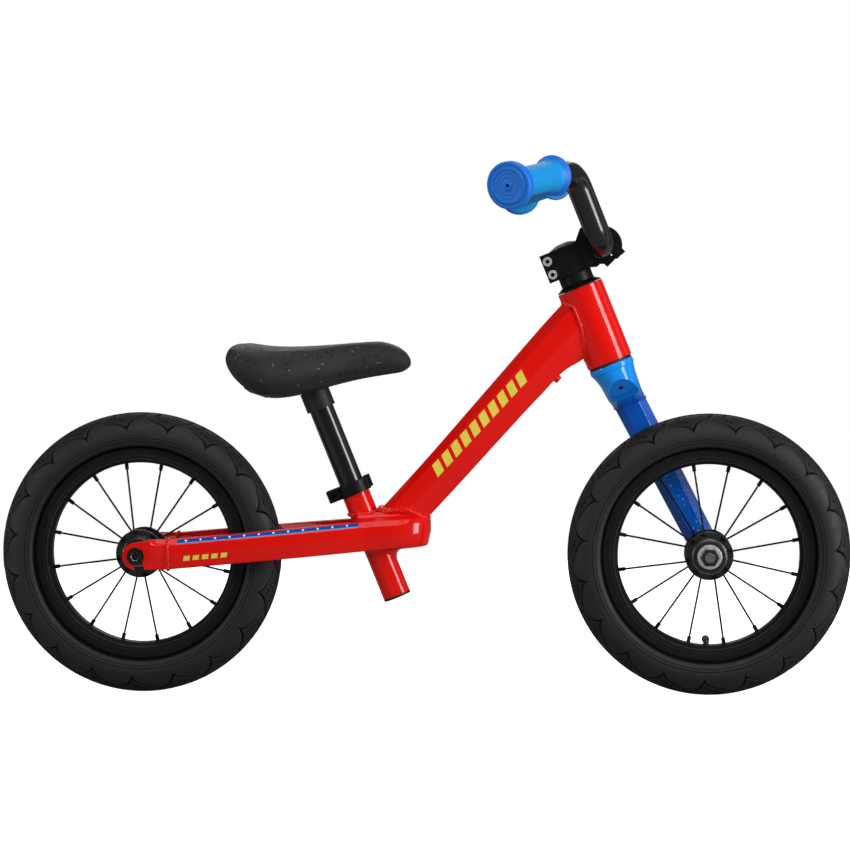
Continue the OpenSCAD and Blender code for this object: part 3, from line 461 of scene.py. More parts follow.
def make_tyre(name, node, place, body, turn):
    """A tyre whose two sides carry the same pattern, half a repeat apart."""
    side = np.array([85, 90, 94, *WALL_RINGS[0], 101, *WALL_RINGS[1], 109, 113.5])
    theta = np.concatenate([-side[::-1], np.arange(-80, 80.1, 2.0), side])
    grid_t, grid_p = np.meshgrid(theta, np.arange(COLUMNS) * PITCH / COLUMNS, indexing="ij")
    near = np.where(grid_t >= 0, grid_p, (grid_p + PITCH / 2) % PITCH)
    centred = (near + PITCH / 2) % PITCH - PITCH / 2
    steep = np.abs(grid_t)
    depth = groove_depth(centred, steep)
    edge_p, edge_t = np.array(RIGHT_ARM[::-1] + LEFT_ARM[1:6]).T
    tread = steep < np.interp(centred, edge_p, edge_t)
    rib = sum(np.exp(-(((steep - at) / 1.6) ** 2)) for at in WALL_RIBS) * RIB
    radius = TYRE_R - RIB - depth - np.where(tread & (steep > 12), 0.25, 0.0) + rib
    t = np.radians(grid_t)
    casing = np.stack([RING_R + radius * np.cos(t), radius * np.sin(t)], -1)
    low = np.repeat(BEAD_LINE[::-1, None, :] * [1, -1], COLUMNS, 1)
    high = np.repeat(BEAD_LINE[:, None, :], COLUMNS, 1)
    rz = np.tile(np.concatenate([low, casing, high], 0), (1, REPEATS, 1))
    rows, columns = rz.shape[:2]
    a = np.radians(np.arange(columns) * 360 / columns + turn)
    local = np.stack([rz[..., 0] * np.cos(a), rz[..., 0] * np.sin(a), rz[..., 1]], -1)
    faces = grid_faces(rows, columns, wrap_rows=True)
    ob = piece(name, apply(place, local.reshape(-1, 3)), faces, tyre_rubber, body, "tyre_rubber")
    first, last = len(low), len(low) + len(theta)
    marks = np.zeros((rows, columns), int)
    # Groove floors deeper than 0.45 mm, the thin wall rings and the bead's gap at the rim take the painted
    # shade
    marks[first:last] = np.tile(np.where(depth > 0.45, GROOVE, tread * TREAD), (1, REPEATS))
    starts, ends = zip(*WALL_RINGS)
    ringed = np.where(theta > 0, np.isin(theta, starts), np.isin(-theta, ends))
    marks[first + np.flatnonzero(ringed)] = GROOVE
    marks[1:first] = GROOVE
    marks[last:-1] = GROOVE
    mark_faces(ob, marks, tread_rubber, painted_shade_black)
    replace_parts(ob, node)


make_tyre("rear_tyre_casing", "rear_tyre", REAR_AXLE, "rear_wheel", 95.7)
make_tyre("front_tyre_casing", "front_tyre", FRONT_AXLE, "front_wheel", 97.4)


# ---------------- frame tubes
def tube_corners(half_w, up, low):
    """The eight-sided section of the frame's tubes."""
    return both_sides([(half_w * 0.55, up), (half_w, up * 0.62), (half_w, -low * 0.05), (half_w * 0.6, -low)])


TUBE_START = np.array([3.7, 0, 215.5])
TUBE_DIR = unit([171.572 - 3.7, 0, 397.004 - 215.5])
TUBE_UP = np.array([-TUBE_DIR[2], 0, TUBE_DIR[0]])
# Along the main tube: half width, height above the middle and depth below it
TUBE_KEYS = [[-56, 18, 20, 21.5], [20, 18, 20.8, 21.6], [90, 18.8, 23, 20.9], [150, 19.5, 25, 20.8],
             [190, 20, 26.4, 22.5], [203, 20, 26.8, 26.5], [240, 20, 27, 32]]


def tube_shape(s):
    return smooth_steps(TUBE_KEYS, [s])[0]


def tube_outline(s):
    return rounded(tube_corners(*tube_shape(s)), 3.6)


def tube_point(s, across, up):
    return TUBE_START + TUBE_DIR * s + TUBE_UP * up - LEFT * across


def main_tube():
    stations = np.concatenate([np.linspace(-50, 180, 47), np.linspace(183, 236, 22)])
    rings = [[tube_point(s, a, b) for a, b in tube_outline(s)] for s in stations]
    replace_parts(loft("main_tube_shell", rings, red, *FRAME), "main_tube")


STAY_W, STAY_H, STAY_ROUND = 8.25, 15.5, 2.6           # half its width and height, and its corners' radius
STAY = tube_corners(STAY_W, STAY_H, STAY_H)
STAY_OUTLINE = rounded(STAY, STAY_ROUND)
STAY_NEAR, STAY_FAR = 24.75, 43.0                      # how far out it runs at the yoke and at the axle
STAY_FRONT, STAY_BACK = -60, -262
STAY_SLOPE = math.tan(math.radians(5.14))


def stay_middle(x):
    t = (x - STAY_FRONT) / (STAY_BACK - STAY_FRONT)
    y = STAY_NEAR + (STAY_FAR - STAY_NEAR) * (1 - (1 - min(t, 1)) ** 2.4) if t > 0 else STAY_NEAR
    return np.array([x, y, 148 + (x - STAY_BACK) * STAY_SLOPE])


def stay_point(x, side, out, up):
    """side is -1 on the rider's right; out is measured away from the middle of the bike."""
    c = stay_middle(x)
    return np.array([x, side * (c[1] + out), c[2] + up])


def stay(side, word):
    rings = [[stay_point(x, side, a, b) for a, b in STAY_OUTLINE] for x in np.linspace(STAY_BACK, -59.5, 44)]
    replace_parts(loft(f"stay_{word}_shell", rings, red, *FRAME), "stay_" + word)


main_tube()
for side, word in SIDES:
    stay(side, word)


def disc(name, spots, material, body, slot, steps=14):
    """Small round paint marks: spots hold (centre, normal, radius)."""
    pts, faces = [], []
    for centre, normal, radius in spots:
        normal = unit(normal)
        u = unit(np.cross(normal, [0.3, 0.5, 0.8]))
        v = np.cross(normal, u)
        start = len(pts)
        for a in turns(steps):
            pts.append(np.asarray(centre) + (u * math.cos(a) + v * math.sin(a)) * radius)
        faces.append(tuple(range(start, start + steps)))
    return piece(name, pts, faces, material, body, slot, closed=False)


LIFT = 0.12                                            # how far paint marks stand off the paint under them
CHAMFER_TOP, CHAMFER_LOW = np.array(STAY[0]), np.array(STAY[1])      # along the top of a stay's outer side
CHAMFER_OUT = unit([CHAMFER_TOP[1] - CHAMFER_LOW[1], CHAMFER_LOW[0] - CHAMFER_TOP[0]])


def chamfer(x, side, share, lift=LIFT):
    return stay_point(x, side, *(CHAMFER_TOP + (CHAMFER_LOW - CHAMFER_TOP) * share + CHAMFER_OUT * lift))


def stay_band(side, word):
    """A plain band with a pale edge, which is a painted highlight, and small round dots along the stay's
    chamfer.
    """
    for name, shares, paint in (("band", np.linspace(0.16, 0.70, 4), band_blue),
                                ("band_highlight_edge", np.linspace(0.70, 0.84, 3), band_painted_highlight)):
        rows = [[chamfer(x, side, k) for k in shares] for x in np.linspace(-252, -66, 60)]
        patches(f"stay_{name}_{word}", [rows], paint, "frame", "fork_paint")
    normal = [0, side * CHAMFER_OUT[0], CHAMFER_OUT[1]]
    dots = [(chamfer(x, side, 0.42, LIFT + 0.06), normal, 1.15) for x in np.arange(-243, -68, 15.0)]
    disc("stay_band_dots_" + word, dots, mark_white, "frame", "fork_paint")


def stay_bars(side, word):
    """Small plain bars on the stay's lower facet."""
    facet, foot = np.array(STAY[2]), np.array(STAY[3])
    grids = []
    for start in np.arange(-246, -200, 9.6):
        grid = []
        for k in np.linspace(0.12, 0.46, 3):
            a, b = facet + (foot - facet) * k + np.array([LIFT + 0.03, -0.03])
            lean = 2.2 * (0.5 - k)
            grid.append([stay_point(x + lean, side, a, b) for x in np.linspace(start, start + 6.4, 3)])
        grids.append(grid)
    patches("stay_bars_" + word, grids, mark_yellow, *FRAME)


def tube_bars(side, word):
    """Plain slanted bars along the flat side of the main tube."""
    grids = [[[tube_point(q + 5 * t, -side * (tube_shape(q)[0] + LIFT), -0.6 + 12.8 * t)
               for q in np.linspace(start, start + 9.5, 4)] for t in np.linspace(0, 1, 3)]
             for start in np.arange(16, 150, 14.0)]
    patches("main_tube_bars_" + word, grids, mark_yellow, *FRAME)


for decorate in (stay_band, stay_bars, tube_bars):
    for side, word in SIDES:
        decorate(side, word)

BOSS = (np.stack([TUBE_DIR, -LEFT, -TUBE_UP], 1), tube_point(174, 0, -21.7))
boss = [(2.5, -1.5), (4.6, -1.5), (4.4, -0.4), (4.05, 0.5), (4.0, 2.5), (3.6, 3.0), (2.9, 3.0), (2.5, 2.6)]
revolve("main_tube_boss", boss, BOSS, red, *FRAME, count=48, weighted=True)
thread = [(2.49 - 0.2 * (k % 2), 2.5 - 0.4 * k) for k in range(17)] + [(2.0, -4.4), (2.0, 2.4)]
revolve("main_tube_boss_thread", thread, BOSS, dull, *FRAME, count=32)


# ---------------- weld beads
SCALE_STEPS, BEAD_SIDES = 6, 10            # rings of points in one weld scale, and points in a ring


def bead(name, path, radius, material, body, slot, pitch=2.9, closed=True, bow=0.9):
    """A bead of overlapping scales along a path."""
    path = np.asarray(path, float)
    if closed:
        path = np.vstack([path, path[:1]])
    steps = np.linalg.norm(np.diff(path, axis=0), axis=1)
    total = np.concatenate([[0], np.cumsum(steps)])
    count = max(2, round(total[-1] / pitch)) * SCALE_STEPS
    at = np.linspace(0, total[-1], count, endpoint=not closed)
    line = np.stack([np.interp(at, total, path[:, i]) for i in range(3)], 1)
    middle = path.mean(0)
    after, before = np.roll(line, -1, 0), np.roll(line, 1, 0)
    if not closed:
        after[-1], before[0] = line[-1], line[0]
    rings = []
    for i in range(count):
        t = unit(after[i] - before[i])
        n = line[i] - middle
        n = unit(n - t * (n @ t))
        b = np.cross(t, n)
        r = radius * (1.0 - 0.30 * ((i % SCALE_STEPS) / SCALE_STEPS) ** 1.5)
        for a in turns(BEAD_SIDES):
            rings.append(line[i] + (n * math.cos(a) + b * math.sin(a)) * r + t * bow * math.cos(2 * a) * 0.5)
    return piece(name, rings, grid_faces(count, BEAD_SIDES, wrap_rows=closed), material, body, slot)


def run_out(point, direction, inside, reach):
    """Where a line through point, moving along direction, leaves the inside, within that reach."""
    low, high = 0, reach
    for _ in range(40):
        mid = (low + high) / 2
        if inside(point + direction * mid):
            low = mid
        else:
            high = mid
    return point + direction * low


def off_axis(p, origin):
    d = p - origin
    return np.linalg.norm(d - AXIS * (d @ AXIS))


# Height of the yoke's top along the bike
FOOT_KEYS = [[-70, 188], [-53, 189], [-36, 191.5], [-20, 193], [-8, 190], [2, 183.5], [9, 181], [30, 180]]
SEAT_TUBE_R = 14.5
HEAD_WELD_R = 24.2


def yoke_top(x):
    return smooth_steps(FOOT_KEYS, np.clip(x, -69, 29))[:, 0]


def around_seat_tube(radius, turn, up):
    return SEAT + FORE * radius * math.cos(turn) + LEFT * radius * math.sin(turn) + AXIS * up


def up_seat_tube(height, fore):
    """How far along the seat tube's axis a point that far in front of the axis reaches a height."""
    return (height - SEAT[2] - SIN * fore) / COS


def welds():
    path = [run_out(tube_point(150, a, b), TUBE_DIR, lambda p: off_axis(p, HEAD) > HEAD_WELD_R, 90)
            for a, b in tube_outline(225)]
    bead("weld_head_tube", path, 2.2, red, *FRAME, pitch=2.6)
    path = [run_out(tube_point(60, a, b), -TUBE_DIR, lambda p: p[2] > yoke_top([p[0]])[0], 110)
            for a, b in tube_outline(0)]
    bead("weld_foot", path, 3.5, red, *FRAME)
    path = []
    for turn in turns(72):
        fore = SEAT_TUBE_R * math.cos(turn)
        path.append(around_seat_tube(SEAT_TUBE_R, turn, up_seat_tube(188.2 + 0.12 * fore, fore)))
    bead("weld_seat_tube_top", path, 2.2, red, *FRAME)
    for side, word in SIDES:
        outline = rounded(tube_corners(8.3, STAY_H, STAY_H), STAY_ROUND)
        path = [stay_point(STAY_BACK, side, a, b) for a, b in outline]
        bead("weld_dropout_" + word, path, 1.9, red, *FRAME, pitch=2.4)


def low_fillet():
    """The welded fillet under the yoke, deepest in front of the seat tube."""
    rings = []
    for turn in turns(144):
        ahead = max(0.0, math.cos(turn)) ** 1.5
        ripple = 0.22 * (0.5 + 0.5 * math.cos(turn * 36))
        for t in np.linspace(0, 1, 9):
            lean = t * math.pi / 2
            r = 14.3 + (2.2 + 9.0 * ahead) * (1 - math.cos(lean)) + ripple * math.sin(math.pi * t)
            drop = (3.0 + 10.5 * ahead) * (1 - math.sin(lean))
            rings.append(around_seat_tube(r, turn, up_seat_tube(151.4, r * math.cos(turn)) - drop))
    faces = grid_faces(144, 9, wrap_rows=True, wrap_columns=False)
    piece("weld_seat_tube_low", rings, faces, red, *FRAME, closed=False)


# Levels of the yoke above its middle, how far its outline is drawn in, and how far the nose is kept forward:
# up to the stays' top they follow the stays' own section, then they gather into the main tube's foot
YOKE_SIDE = np.array(sorted((b, STAY_W - a) for a, b in STAY_OUTLINE if a > 0))
YOKE_LEVELS = [(b, inset, max(0.0, inset - 0.1) if b > 9 else 0.0) for b, inset in YOKE_SIDE]
YOKE_LEVELS += [(b, np.interp(b, *YOKE_SIDE.T), 0.0) for b in (-11.5, -9, -6.5, -4, 2, 4.5, 7)]
YOKE_LEVELS.sort()
YOKE_LEVELS += [(15.6, 6.6, 6.4), (16.1, 9.0, 8.7), (17.0, 11.2, 10.7), (18.6, 13.0, 12.3), (20.6, 14.2, 13.2),
                (23.2, 15.2, 13.8), (26, 15.9, 14.2), (29, 16.6, 14.4)]
YOKE_W, YOKE_NOSE = 33, 44                 # half its width, and its nose's reach in front of NOSE_FROM
NOSE_FROM = -37


def yoke_ring(up, inset, forward):
    wide, ahead = YOKE_W - inset, YOKE_NOSE - inset + forward
    half = [[-68, wide - 1.2], [-63, wide - 0.06], [-60.2, wide - 0.02]]
    half += [[x, wide] for x in (-57, -52, -47, -42, -39)]
    half += [[NOSE_FROM + ahead * math.sin(t), wide * math.cos(t) ** 0.94]
             for t in np.linspace(0.05, math.pi / 2, 34)]
    half[-1][1] = 0.02
    half = np.array(half)
    # towards the nose the stay's flat sides swell into a round section
    swell = np.clip((half[:, 0] + 58) / 45, 0, 1)[:, None] ** 2
    if up < STAY_H:
        rounder = 3.4 * abs(up / STAY_H) ** 3 + 2.6 * abs(up / STAY_H) ** 12
        half[:, 1:] *= 1 - swell * (rounder - inset) / wide
    flat = np.concatenate([half, half[::-1] * [1, -1]])
    behind = flat[:, 0] - STAY_FRONT
    slope = STAY_SLOPE + (0.04 - STAY_SLOPE) * np.clip(behind / 40, 0, 1) ** 2 * 0.5
    z = np.minimum(stay_middle(STAY_FRONT)[2] + up + slope * behind, yoke_top(flat[:, 0]) - 0.4)
    return np.column_stack([flat, z])


def yoke():
    shell = loft("yoke_shell", [yoke_ring(*level) for level in YOKE_LEVELS], red, *FRAME, weighted=False)
    drill(shell, [(SEAT_TUBE_R - 0.4, -30), (SEAT_TUBE_R - 0.4, 130)], SEATING)
    even_normals(shell)
    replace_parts(shell, "yoke")


welds()
yoke()
low_fillet()


# ---------------- fork
# Down the crown: distance below the head tube, then its sides at the right, left, rear and front
CROWN_KEYS = [[8.5, -22.6, 22.6, -22.6, 22.6], [15, -21.2, 25.5, -20.2, 21.4], [22, -20.5, 43, -18.4, 20.8],
              [30, -20, 57.5, -17.6, 20.4], [38, -17, 60, -16.6, 20], [43, 2, 60, -15.2, 20.2],
              [47, 21, 60, -14.6, 20.6], [50, 30, 60, -14.1, 21]]
# The slanting flat on the crown's right side, which holds the hole
FACET_MID, FACET_TILT = np.array([0.5, -13.5, -29.1]), math.radians(38)
FACET_OUT = np.array([0, -math.cos(FACET_TILT), -math.sin(FACET_TILT)])
HOLE_R, HOLE_DEEP = 2.5, 11


def crown_rings():
    below, *sides = np.array(CROWN_KEYS).T
    rings = []
    for w in np.linspace(8.5, 50, 58):
        right, left, rear, ahead = [np.interp(w, below, side) for side in sides]
        power = 2 / (2 + 1.1 * min(1, max(0, (w - 15) / 25)))
        ring = []
        for a in turns(88):
            c, s = math.cos(a), math.sin(a)
            ring.append([(rear + ahead) / 2 + (ahead - rear) / 2 * math.copysign(abs(c) ** power, c),
                         (right + left) / 2 + (left - right) / 2 * math.copysign(abs(s) ** power, s), -w])
        rings.append(ring)
    rings = np.array(rings)
    for _ in range(3):                     # eases the joins between the stations
        rings[1:-1] = rings[1:-1] * 0.5 + (rings[:-2] + rings[2:]) * 0.25
    return apply(STEERING, rings.reshape(-1, 3)).reshape(rings.shape)


def cut_flat(mesh, origin, normal):
    """Cuts a mesh off at a plane and eases the new edge."""
    bm = bmesh.new()
    bm.from_mesh(mesh)
    parts = bm.verts[:] + bm.edges[:] + bm.faces[:]
    cut = bmesh.ops.bisect_plane(bm, geom=parts, plane_co=origin, plane_no=normal, clear_outer=True)
    rim = [e for e in cut["geom_cut"] if isinstance(e, bmesh.types.BMEdge)]
    bmesh.ops.triangle_fill(bm, edges=rim, use_beauty=True, use_dissolve=True, normal=normal)
    bmesh.ops.bevel(bm, geom=rim, offset=0.0009, segments=3, affect="EDGES", profile=0.5, clamp_overlap=True)
    bmesh.ops.recalc_face_normals(bm, faces=bm.faces)
    bm.to_mesh(mesh)
    bm.free()
    shade_smooth(mesh)


def crown():
    shell = loft("crown_shell", crown_rings(), crown_blue, *FORK, weighted=False)
    middle = apply(STEERING, [FACET_MID])[0]
    origin, normal = Vector(middle * MM), Vector(LEANING @ FACET_OUT)
    cut_flat(shell.data, origin, normal)
    place = (LEANING @ np.stack([[1, 0, 0], np.cross(FACET_OUT, [1, 0, 0]), FACET_OUT], 1), middle)
    drill(shell, [(HOLE_R, -HOLE_DEEP), (HOLE_R, 3)], place)
    shell.data.materials.append(flat_blue)
    for face in shell.data.polygons:
        if face.normal.dot(normal) > 0.9 and abs((face.center - origin).dot(normal)) < 0.0005:
            face.material_index = 1
    weighted_normals(shell, keep_sharp=False)
    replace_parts(shell, "fork_crown")
    # A dark sleeve inside the crown's hole, painted shade in the hole
    hole_shade = [(2.46, -10.8), (2.46, -0.6), (2.2, -0.6), (2.2, -10.6)]
    revolve("crown_hole_painted_shade", hole_shade, place, tube_rubber, *FORK, count=32)
    # a row of weld scales on the flat, below the hole
    line = apply(place, [[-9, -5.2, 0.1], [-5, -6.2, 0.1], [0, -6.6, 0.1], [5, -6.0, 0.1], [8, -5.0, 0.1]])
    bead("weld_crown_flat", line, 1.2, flat_blue, *FORK, pitch=2.0, closed=False, bow=0.5)
    collar = [(16.7, 0.0), (22.9, -2.75), (23.3, -3.1), (23.5, -4.2), (23.5, -7.2), (23.2, -8.4), (22.3, -9.4),
              (16.7, -9.6)]
    revolve("crown_collar", collar, STEERING, blue, *FORK, count=128, weighted=True)


AXLE_DROP = 223.5                          # how far the front axle lies below the head tube
LEG_OUT, LEG_DEPTH = 45.5, 14.5            # how far out the leg runs, and half its depth across the bike


def leg_width(w):
    """Half the leg's width at a distance below the head tube."""
    return np.interp(w, [46, 70, 140, AXLE_DROP], [17.5, 17.3, 16.4, 15.5])


def leg_outline(w):
    a, b = leg_width(w), LEG_DEPTH
    half = [(a * 0.50, b), (a * 0.97, b * 0.30), (a * 0.97, -b * 0.30), (a * 0.50, -b)]
    return rounded(both_sides(half), 3.2)


def leg_point(w, fore, left):
    middle = 2.1 + (w - 36) * (20.6 - 2.1) / (AXLE_DROP - 36)
    return apply(STEERING, [[middle + fore, LEG_OUT + left, -w]])[0]


def fork_leg():
    rings = [[leg_point(w, a, b) for a, b in leg_outline(w)] for w in np.linspace(44, 221, 60)]
    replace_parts(loft("fork_leg_shell", rings, deep_blue, *FORK), "fork_leg")
    profile = [(5.3, -31.2), (13.2, -31.2), (14.6, -31.9), (15.5, -33.2), (15.5, -58.4), (15.1, -59.4),
               (13.6, -59.9), (5.3, -59.9)]
    revolve("fork_leg_end", profile, FRONT_AXLE, deep_blue, *FORK, weighted=True)
    path = [leg_point(49.5, a, b) for a, b in leg_outline(50)]
    bead("weld_leg", path, 1.4, deep_blue, *FORK, pitch=2.4)


def leg_dots():
    """Scattered pale dots, a generic decoration on the lower part of the leg."""
    draw = np.random.default_rng(7)
    spots = []
    for w in np.arange(112, 214, 5.5):
        a, b = leg_width(w), LEG_DEPTH
        for face in range(6):
            if draw.random() > 0.62:
                continue
            at, r = w + draw.uniform(-2, 2), draw.uniform(0.45, 0.95)
            if face < 2:                   # the flat faces to the right and to the left
                side = -1 if face == 0 else 1
                spots.append((leg_point(at, draw.uniform(-0.42, 0.42) * a, side * (b + LIFT)), LEFT * side, r))
            else:                          # the four chamfers
                fore, side = (1 if face < 4 else -1), (-1 if face % 2 else 1)
                k = draw.uniform(0.2, 0.8)
                n = unit([b * 0.70, a * 0.47])
                p = np.array([a * 0.50, b]) * (1 - k) + np.array([a * 0.97, b * 0.30]) * k + n * LIFT
                out = LEANING @ [fore * n[0], side * n[1], 0]
                spots.append((leg_point(at, fore * p[0], side * p[1]), out, r))
    disc("fork_leg_dots", spots, mark_pale, *FORK, steps=10)


crown()
fork_leg()
leg_dots()


# ---------------- bolts and hub details
STEM_LOW = 98.0                            # the stem's lower edge above the head tube
PINCH_BOLTS = (("low", 7.5), ("high", 22.0))
RIM_BED, RIM_SIDE = 94.0, 13.0


# A hex recess, its walls and floor in the given material; both bolts give it a dark one as painted shade in
# the recess
def hex_socket(name, place, radius, top, floor, material, body, slot):
    pts = [[r * math.cos(a), r * math.sin(a), h]
           for r, h in ((radius, top), (radius, floor + 0.3), (radius * 0.3, floor)) for a in turns(6)]
    faces = grid_faces(3, 6) + [tuple(range(12, 18))]
    cup = piece(name, apply(place, pts), faces, material, body, slot, closed=False)
    shade_smooth(cup.data, False)


def rear_bolt(side, word):
    place = (np.stack([[1, 0, 0], [0, 0, -side], [0, side, 0]], 1), REAR)
    head = [(0.0, 49.8), (7.3, 49.8), (7.5, 50.4), (7.2, 52.2), (6.2, 53.6), (5.1, 54.3), (4.9, 54.1)]
    ring = [(4.9, 53.4), (5.0, 54.4), (4.7, 55.4), (4.2, 55.7), (3.7, 55.4), (3.45, 54.6), (3.4, 52.0),
            (4.8, 52.0)]
    revolve("rear_bolt_head_" + word, head, place, gloss_black, "frame", "black_steel", closed_profile=False,
            weighted=True)
    revolve("rear_bolt_ring_" + word, ring, place, bright, "frame", "bright_steel", weighted=True)
    # The socket's dark steel is painted shade in the recess
    hex_socket("rear_bolt_socket_" + word, place, 3.42, 55.0, 52.4, dark_steel, "frame", "black_steel")


def pinch_bolt(word, level):
    place = (FACING_RIGHT, apply(STEERING, [[-21, 0, STEM_LOW + level]])[0])
    # The socket's near black is painted shade in the recess
    hex_socket("pinch_bolt_socket_" + word, place, 2.26, 17.45, 14.6, painted_shade_black, "fork", "black_steel")
    rim = [(4.75, 16.6), (5.3, 16.6), (5.3, 16.9), (4.75, 17.2)]
    revolve("pinch_bolt_rim_" + word, rim, place, gloss_black, "fork", "black_steel", count=48)


def rim_lines(end, place):
    """Two thin raised rings on each side of a rim."""
    for side, word in ((1, "right"), (-1, "left")):
        z = side * RIM_SIDE
        for count, (r, thick) in enumerate(((RIM_BED + 4.2, 0.35), (RIM_BED + 7.6, 0.25))):
            profile = [(r - thick, z - side * 0.2), (r, z + side * 0.12), (r + thick, z - side * 0.2)]
            name = f"{end}_rim_line_{count}_{word}"
            revolve(name, profile, place, rim_edge, end + "_wheel", "black_alloy", count=160)


for side, word in SIDES:
    rear_bolt(side, word)
for word, level in PINCH_BOLTS:
    pinch_bolt(word, level)
# A thin paler steel ring at the edge of the front hub's end, a painted highlight of that edge
hub_edge_highlight = [(17.5, 29.2), (17.9, 28.9), (18.15, 28.3), (17.9, 27.8), (17.2, 28.4)]
revolve("front_hub_highlight_ring", hub_edge_highlight, FRONT_AXLE, dull, "front_wheel", "black_alloy")
hub_lip = [(21.6, 19.45), (22.0, 19.75), (22.4, 19.45)]
revolve("front_hub_lip", hub_lip, FRONT_AXLE, dark_steel, "front_wheel", "black_alloy")
rim_lines("front", FRONT_AXLE)
rim_lines("rear", REAR_AXLE)


# ---------------- grips
BAR_CORNER = np.array([154, 78, 541.0])
BAR_END = np.array([91, 215, 523.0])
GRIP_DIR = unit(BAR_END - BAR_CORNER)
GRIP_L, GRIP_SIDES = 105, 96


def grip(side, word):
    z = GRIP_DIR * [1, side, 1]
    x = unit(np.cross(UP, z))
    place = (np.stack([x, np.cross(z, x), z], 1), (BAR_END - GRIP_DIR * GRIP_L) * [1, side, 1])
    flange = [(13.1, 0.0), (19.2, 0.0), (20.2, 0.7), (20.5, 2.2), (20.2, 3.8), (19.0, 4.9)]
    neck = [(18.9, 5.0), (18.2, 6.6), (17.0, 8.4), (15.9, 10.4), (15.3, 12.6)]
    ribs = [(15.0 - 0.16 * (0.5 - 0.5 * math.cos(2 * math.pi * k / 6)), 14 + k * 70 / 132) for k in range(133)]
    flare = [(15.2, 85.2), (15.9, 87.0), (17.4, 89.2), (19.4, 91.2), (21.2, 92.4)]
    cap = [(21.3, 92.5), (22.9, 93.3), (23.5, 94.6), (23.5, 100.6), (23.2, 102.2), (22.2, 103.3),
           (20.9, 103.6), (20.2, 103.2), (19.6, 102.7), (18.9, 102.8), (18.3, 103.6), (17.4, 104.3),
           (16.4, 104.5), (15.6, 104.1), (14.8, 103.6), (13.0, 103.7), (11.8, 104.0), (11.2, 103.6),
           (10.4, 103.6), (9.6, 103.9), (8.6, 104.0), (7.8, 103.6), (6.6, 103.6), (5.4, 103.9), (3.6, 104.2),
           (3.0, 104.9), (2.1, 105.0), (1.7, 104.4), (1.6, 101.6)]
    bore = [(1.6, 101.4), (11.3, 101.2), (11.3, 3.2), (13.1, 3.0)]
    profile = flange + neck + ribs + flare + cap + bore
    ob = revolve("grip_sleeve_" + word, profile, place, grip_body, "handlebar", "grip_rubber",
                 count=GRIP_SIDES)
    # the flange, the end and the bore are the deeper blue
    marks = np.ones((len(profile), GRIP_SIDES), int)
    marks[len(flange) + 2:-len(bore + cap)] = 0
    mark_faces(ob, marks, grip_deep)
    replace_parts(ob, "grip_" + word)


for side, word in SIDES:
    grip(side, word)


# ---------------- saddle
NOSE_X = -11.4
# Back from the nose: height of the top, height of the underside and half width
SADDLE_KEYS = [[0, 347.5, 341.5, 7], [3, 353.5, 338.2, 14], [10, 360.4, 335.4, 19.5], [21, 364.8, 333.4, 22.5],
               [35, 366.2, 331.2, 24.5], [55, 365.2, 327.6, 28], [82, 363, 321, 38], [108, 361.2, 313.6, 52],
               [134, 360.6, 308.8, 62], [152, 361.6, 308.3, 65], [168, 364, 313.5, 61], [180, 365.6, 322, 52],
               [190, 362.4, 334, 37], [195, 354, 344, 20]]
SADDLE_POWER = 2 / 2.5                     # of the rounded box that its section is
VOXEL, SWELL_CAP, SHRINK = 4.5, 2.4, 1.6


def saddle_shape(back):
    """Height of its middle, half height and half width, at distances behind the nose."""
    top, low, half_w = smooth_steps(SADDLE_KEYS, back).T
    return (top + low) / 2, (top - low) / 2, half_w


def saddle_ring(back, shrink):
    (mid,), (half_h,), (half_w,) = saddle_shape([back])
    ring = []
    for a in turns(72):
        c, s = math.cos(a), math.sin(a)
        ring.append([NOSE_X - back, (half_w - shrink) * math.copysign(abs(c) ** SADDLE_POWER, c),
                     mid + (half_h - shrink) * math.copysign(abs(s) ** SADDLE_POWER, s)])
    return ring


def inflate(ob):
    """Remeshes a pad and blows it up with cloth pressure."""
    modify(ob, "REMESH", mode="VOXEL", voxel_size=VOXEL * MM)
    bake(ob)
    before = points_of(ob.data)
    cloth = modify(ob, "CLOTH").settings
    cloth.use_pressure = True
    cloth.uniform_pressure_force = 4
    cloth.effector_weights.gravity = 0
    scene = bpy.context.scene
    for f in range(1, 21):
        scene.frame_set(f)
    evaluated = ob.evaluated_get(bpy.context.evaluated_depsgraph_get())
    move = points_of(evaluated.data) - before
    ob.modifiers.clear()
    scene.frame_set(1)
    length = np.linalg.norm(move, axis=1, keepdims=True)
    move *= np.minimum(1, SWELL_CAP * MM / np.maximum(length, 1e-9))
    set_points(ob.data, before + move)


def press_saddle(co):
    """Keeps the saddle's points in its space and presses in the crease and the skirt line."""
    back = NOSE_X - co[:, 0]
    mid, half_h, half_w = saddle_shape(np.clip(back, 0, 195))
    co[:, 2] = np.clip(co[:, 2], mid - half_h + 0.05, mid + half_h + 0.4)
    rise = (co[:, 2] - mid) / half_h
    wide = np.abs(co[:, 1]) / half_w
    # a skirt line runs round the side, a little above the lower edge
    line = np.exp(-((rise + 0.62) / 0.05) ** 2) * np.clip((wide - 0.5) * 4, 0, 1)
    co[:, 1] -= np.sign(co[:, 1]) * 0.7 * line
    # a crease across the top near the tail
    tail = np.exp(-((back - 176 + 10 * wide ** 2) / 2.2) ** 2) * np.clip(rise * 2, 0, 1)
    co[:, 2] -= 0.6 * tail
    return co


def saddle():
    stations = np.concatenate([np.linspace(0.6, 10, 8), np.linspace(14, 186, 52), np.linspace(188, 194.4, 7)])
    rings = [saddle_ring(b, SHRINK) for b in stations]
    ob = loft("saddle_top", rings, vinyl, "seat", "saddle_vinyl", weighted=False)
    inflate(ob)
    modify(ob, "SUBSURF", levels=1, render_levels=1)
    bake(ob)
    set_points(ob.data, press_saddle(points_of(ob.data) / MM) * MM)
    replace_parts(ob, "saddle_cover")
    return ob


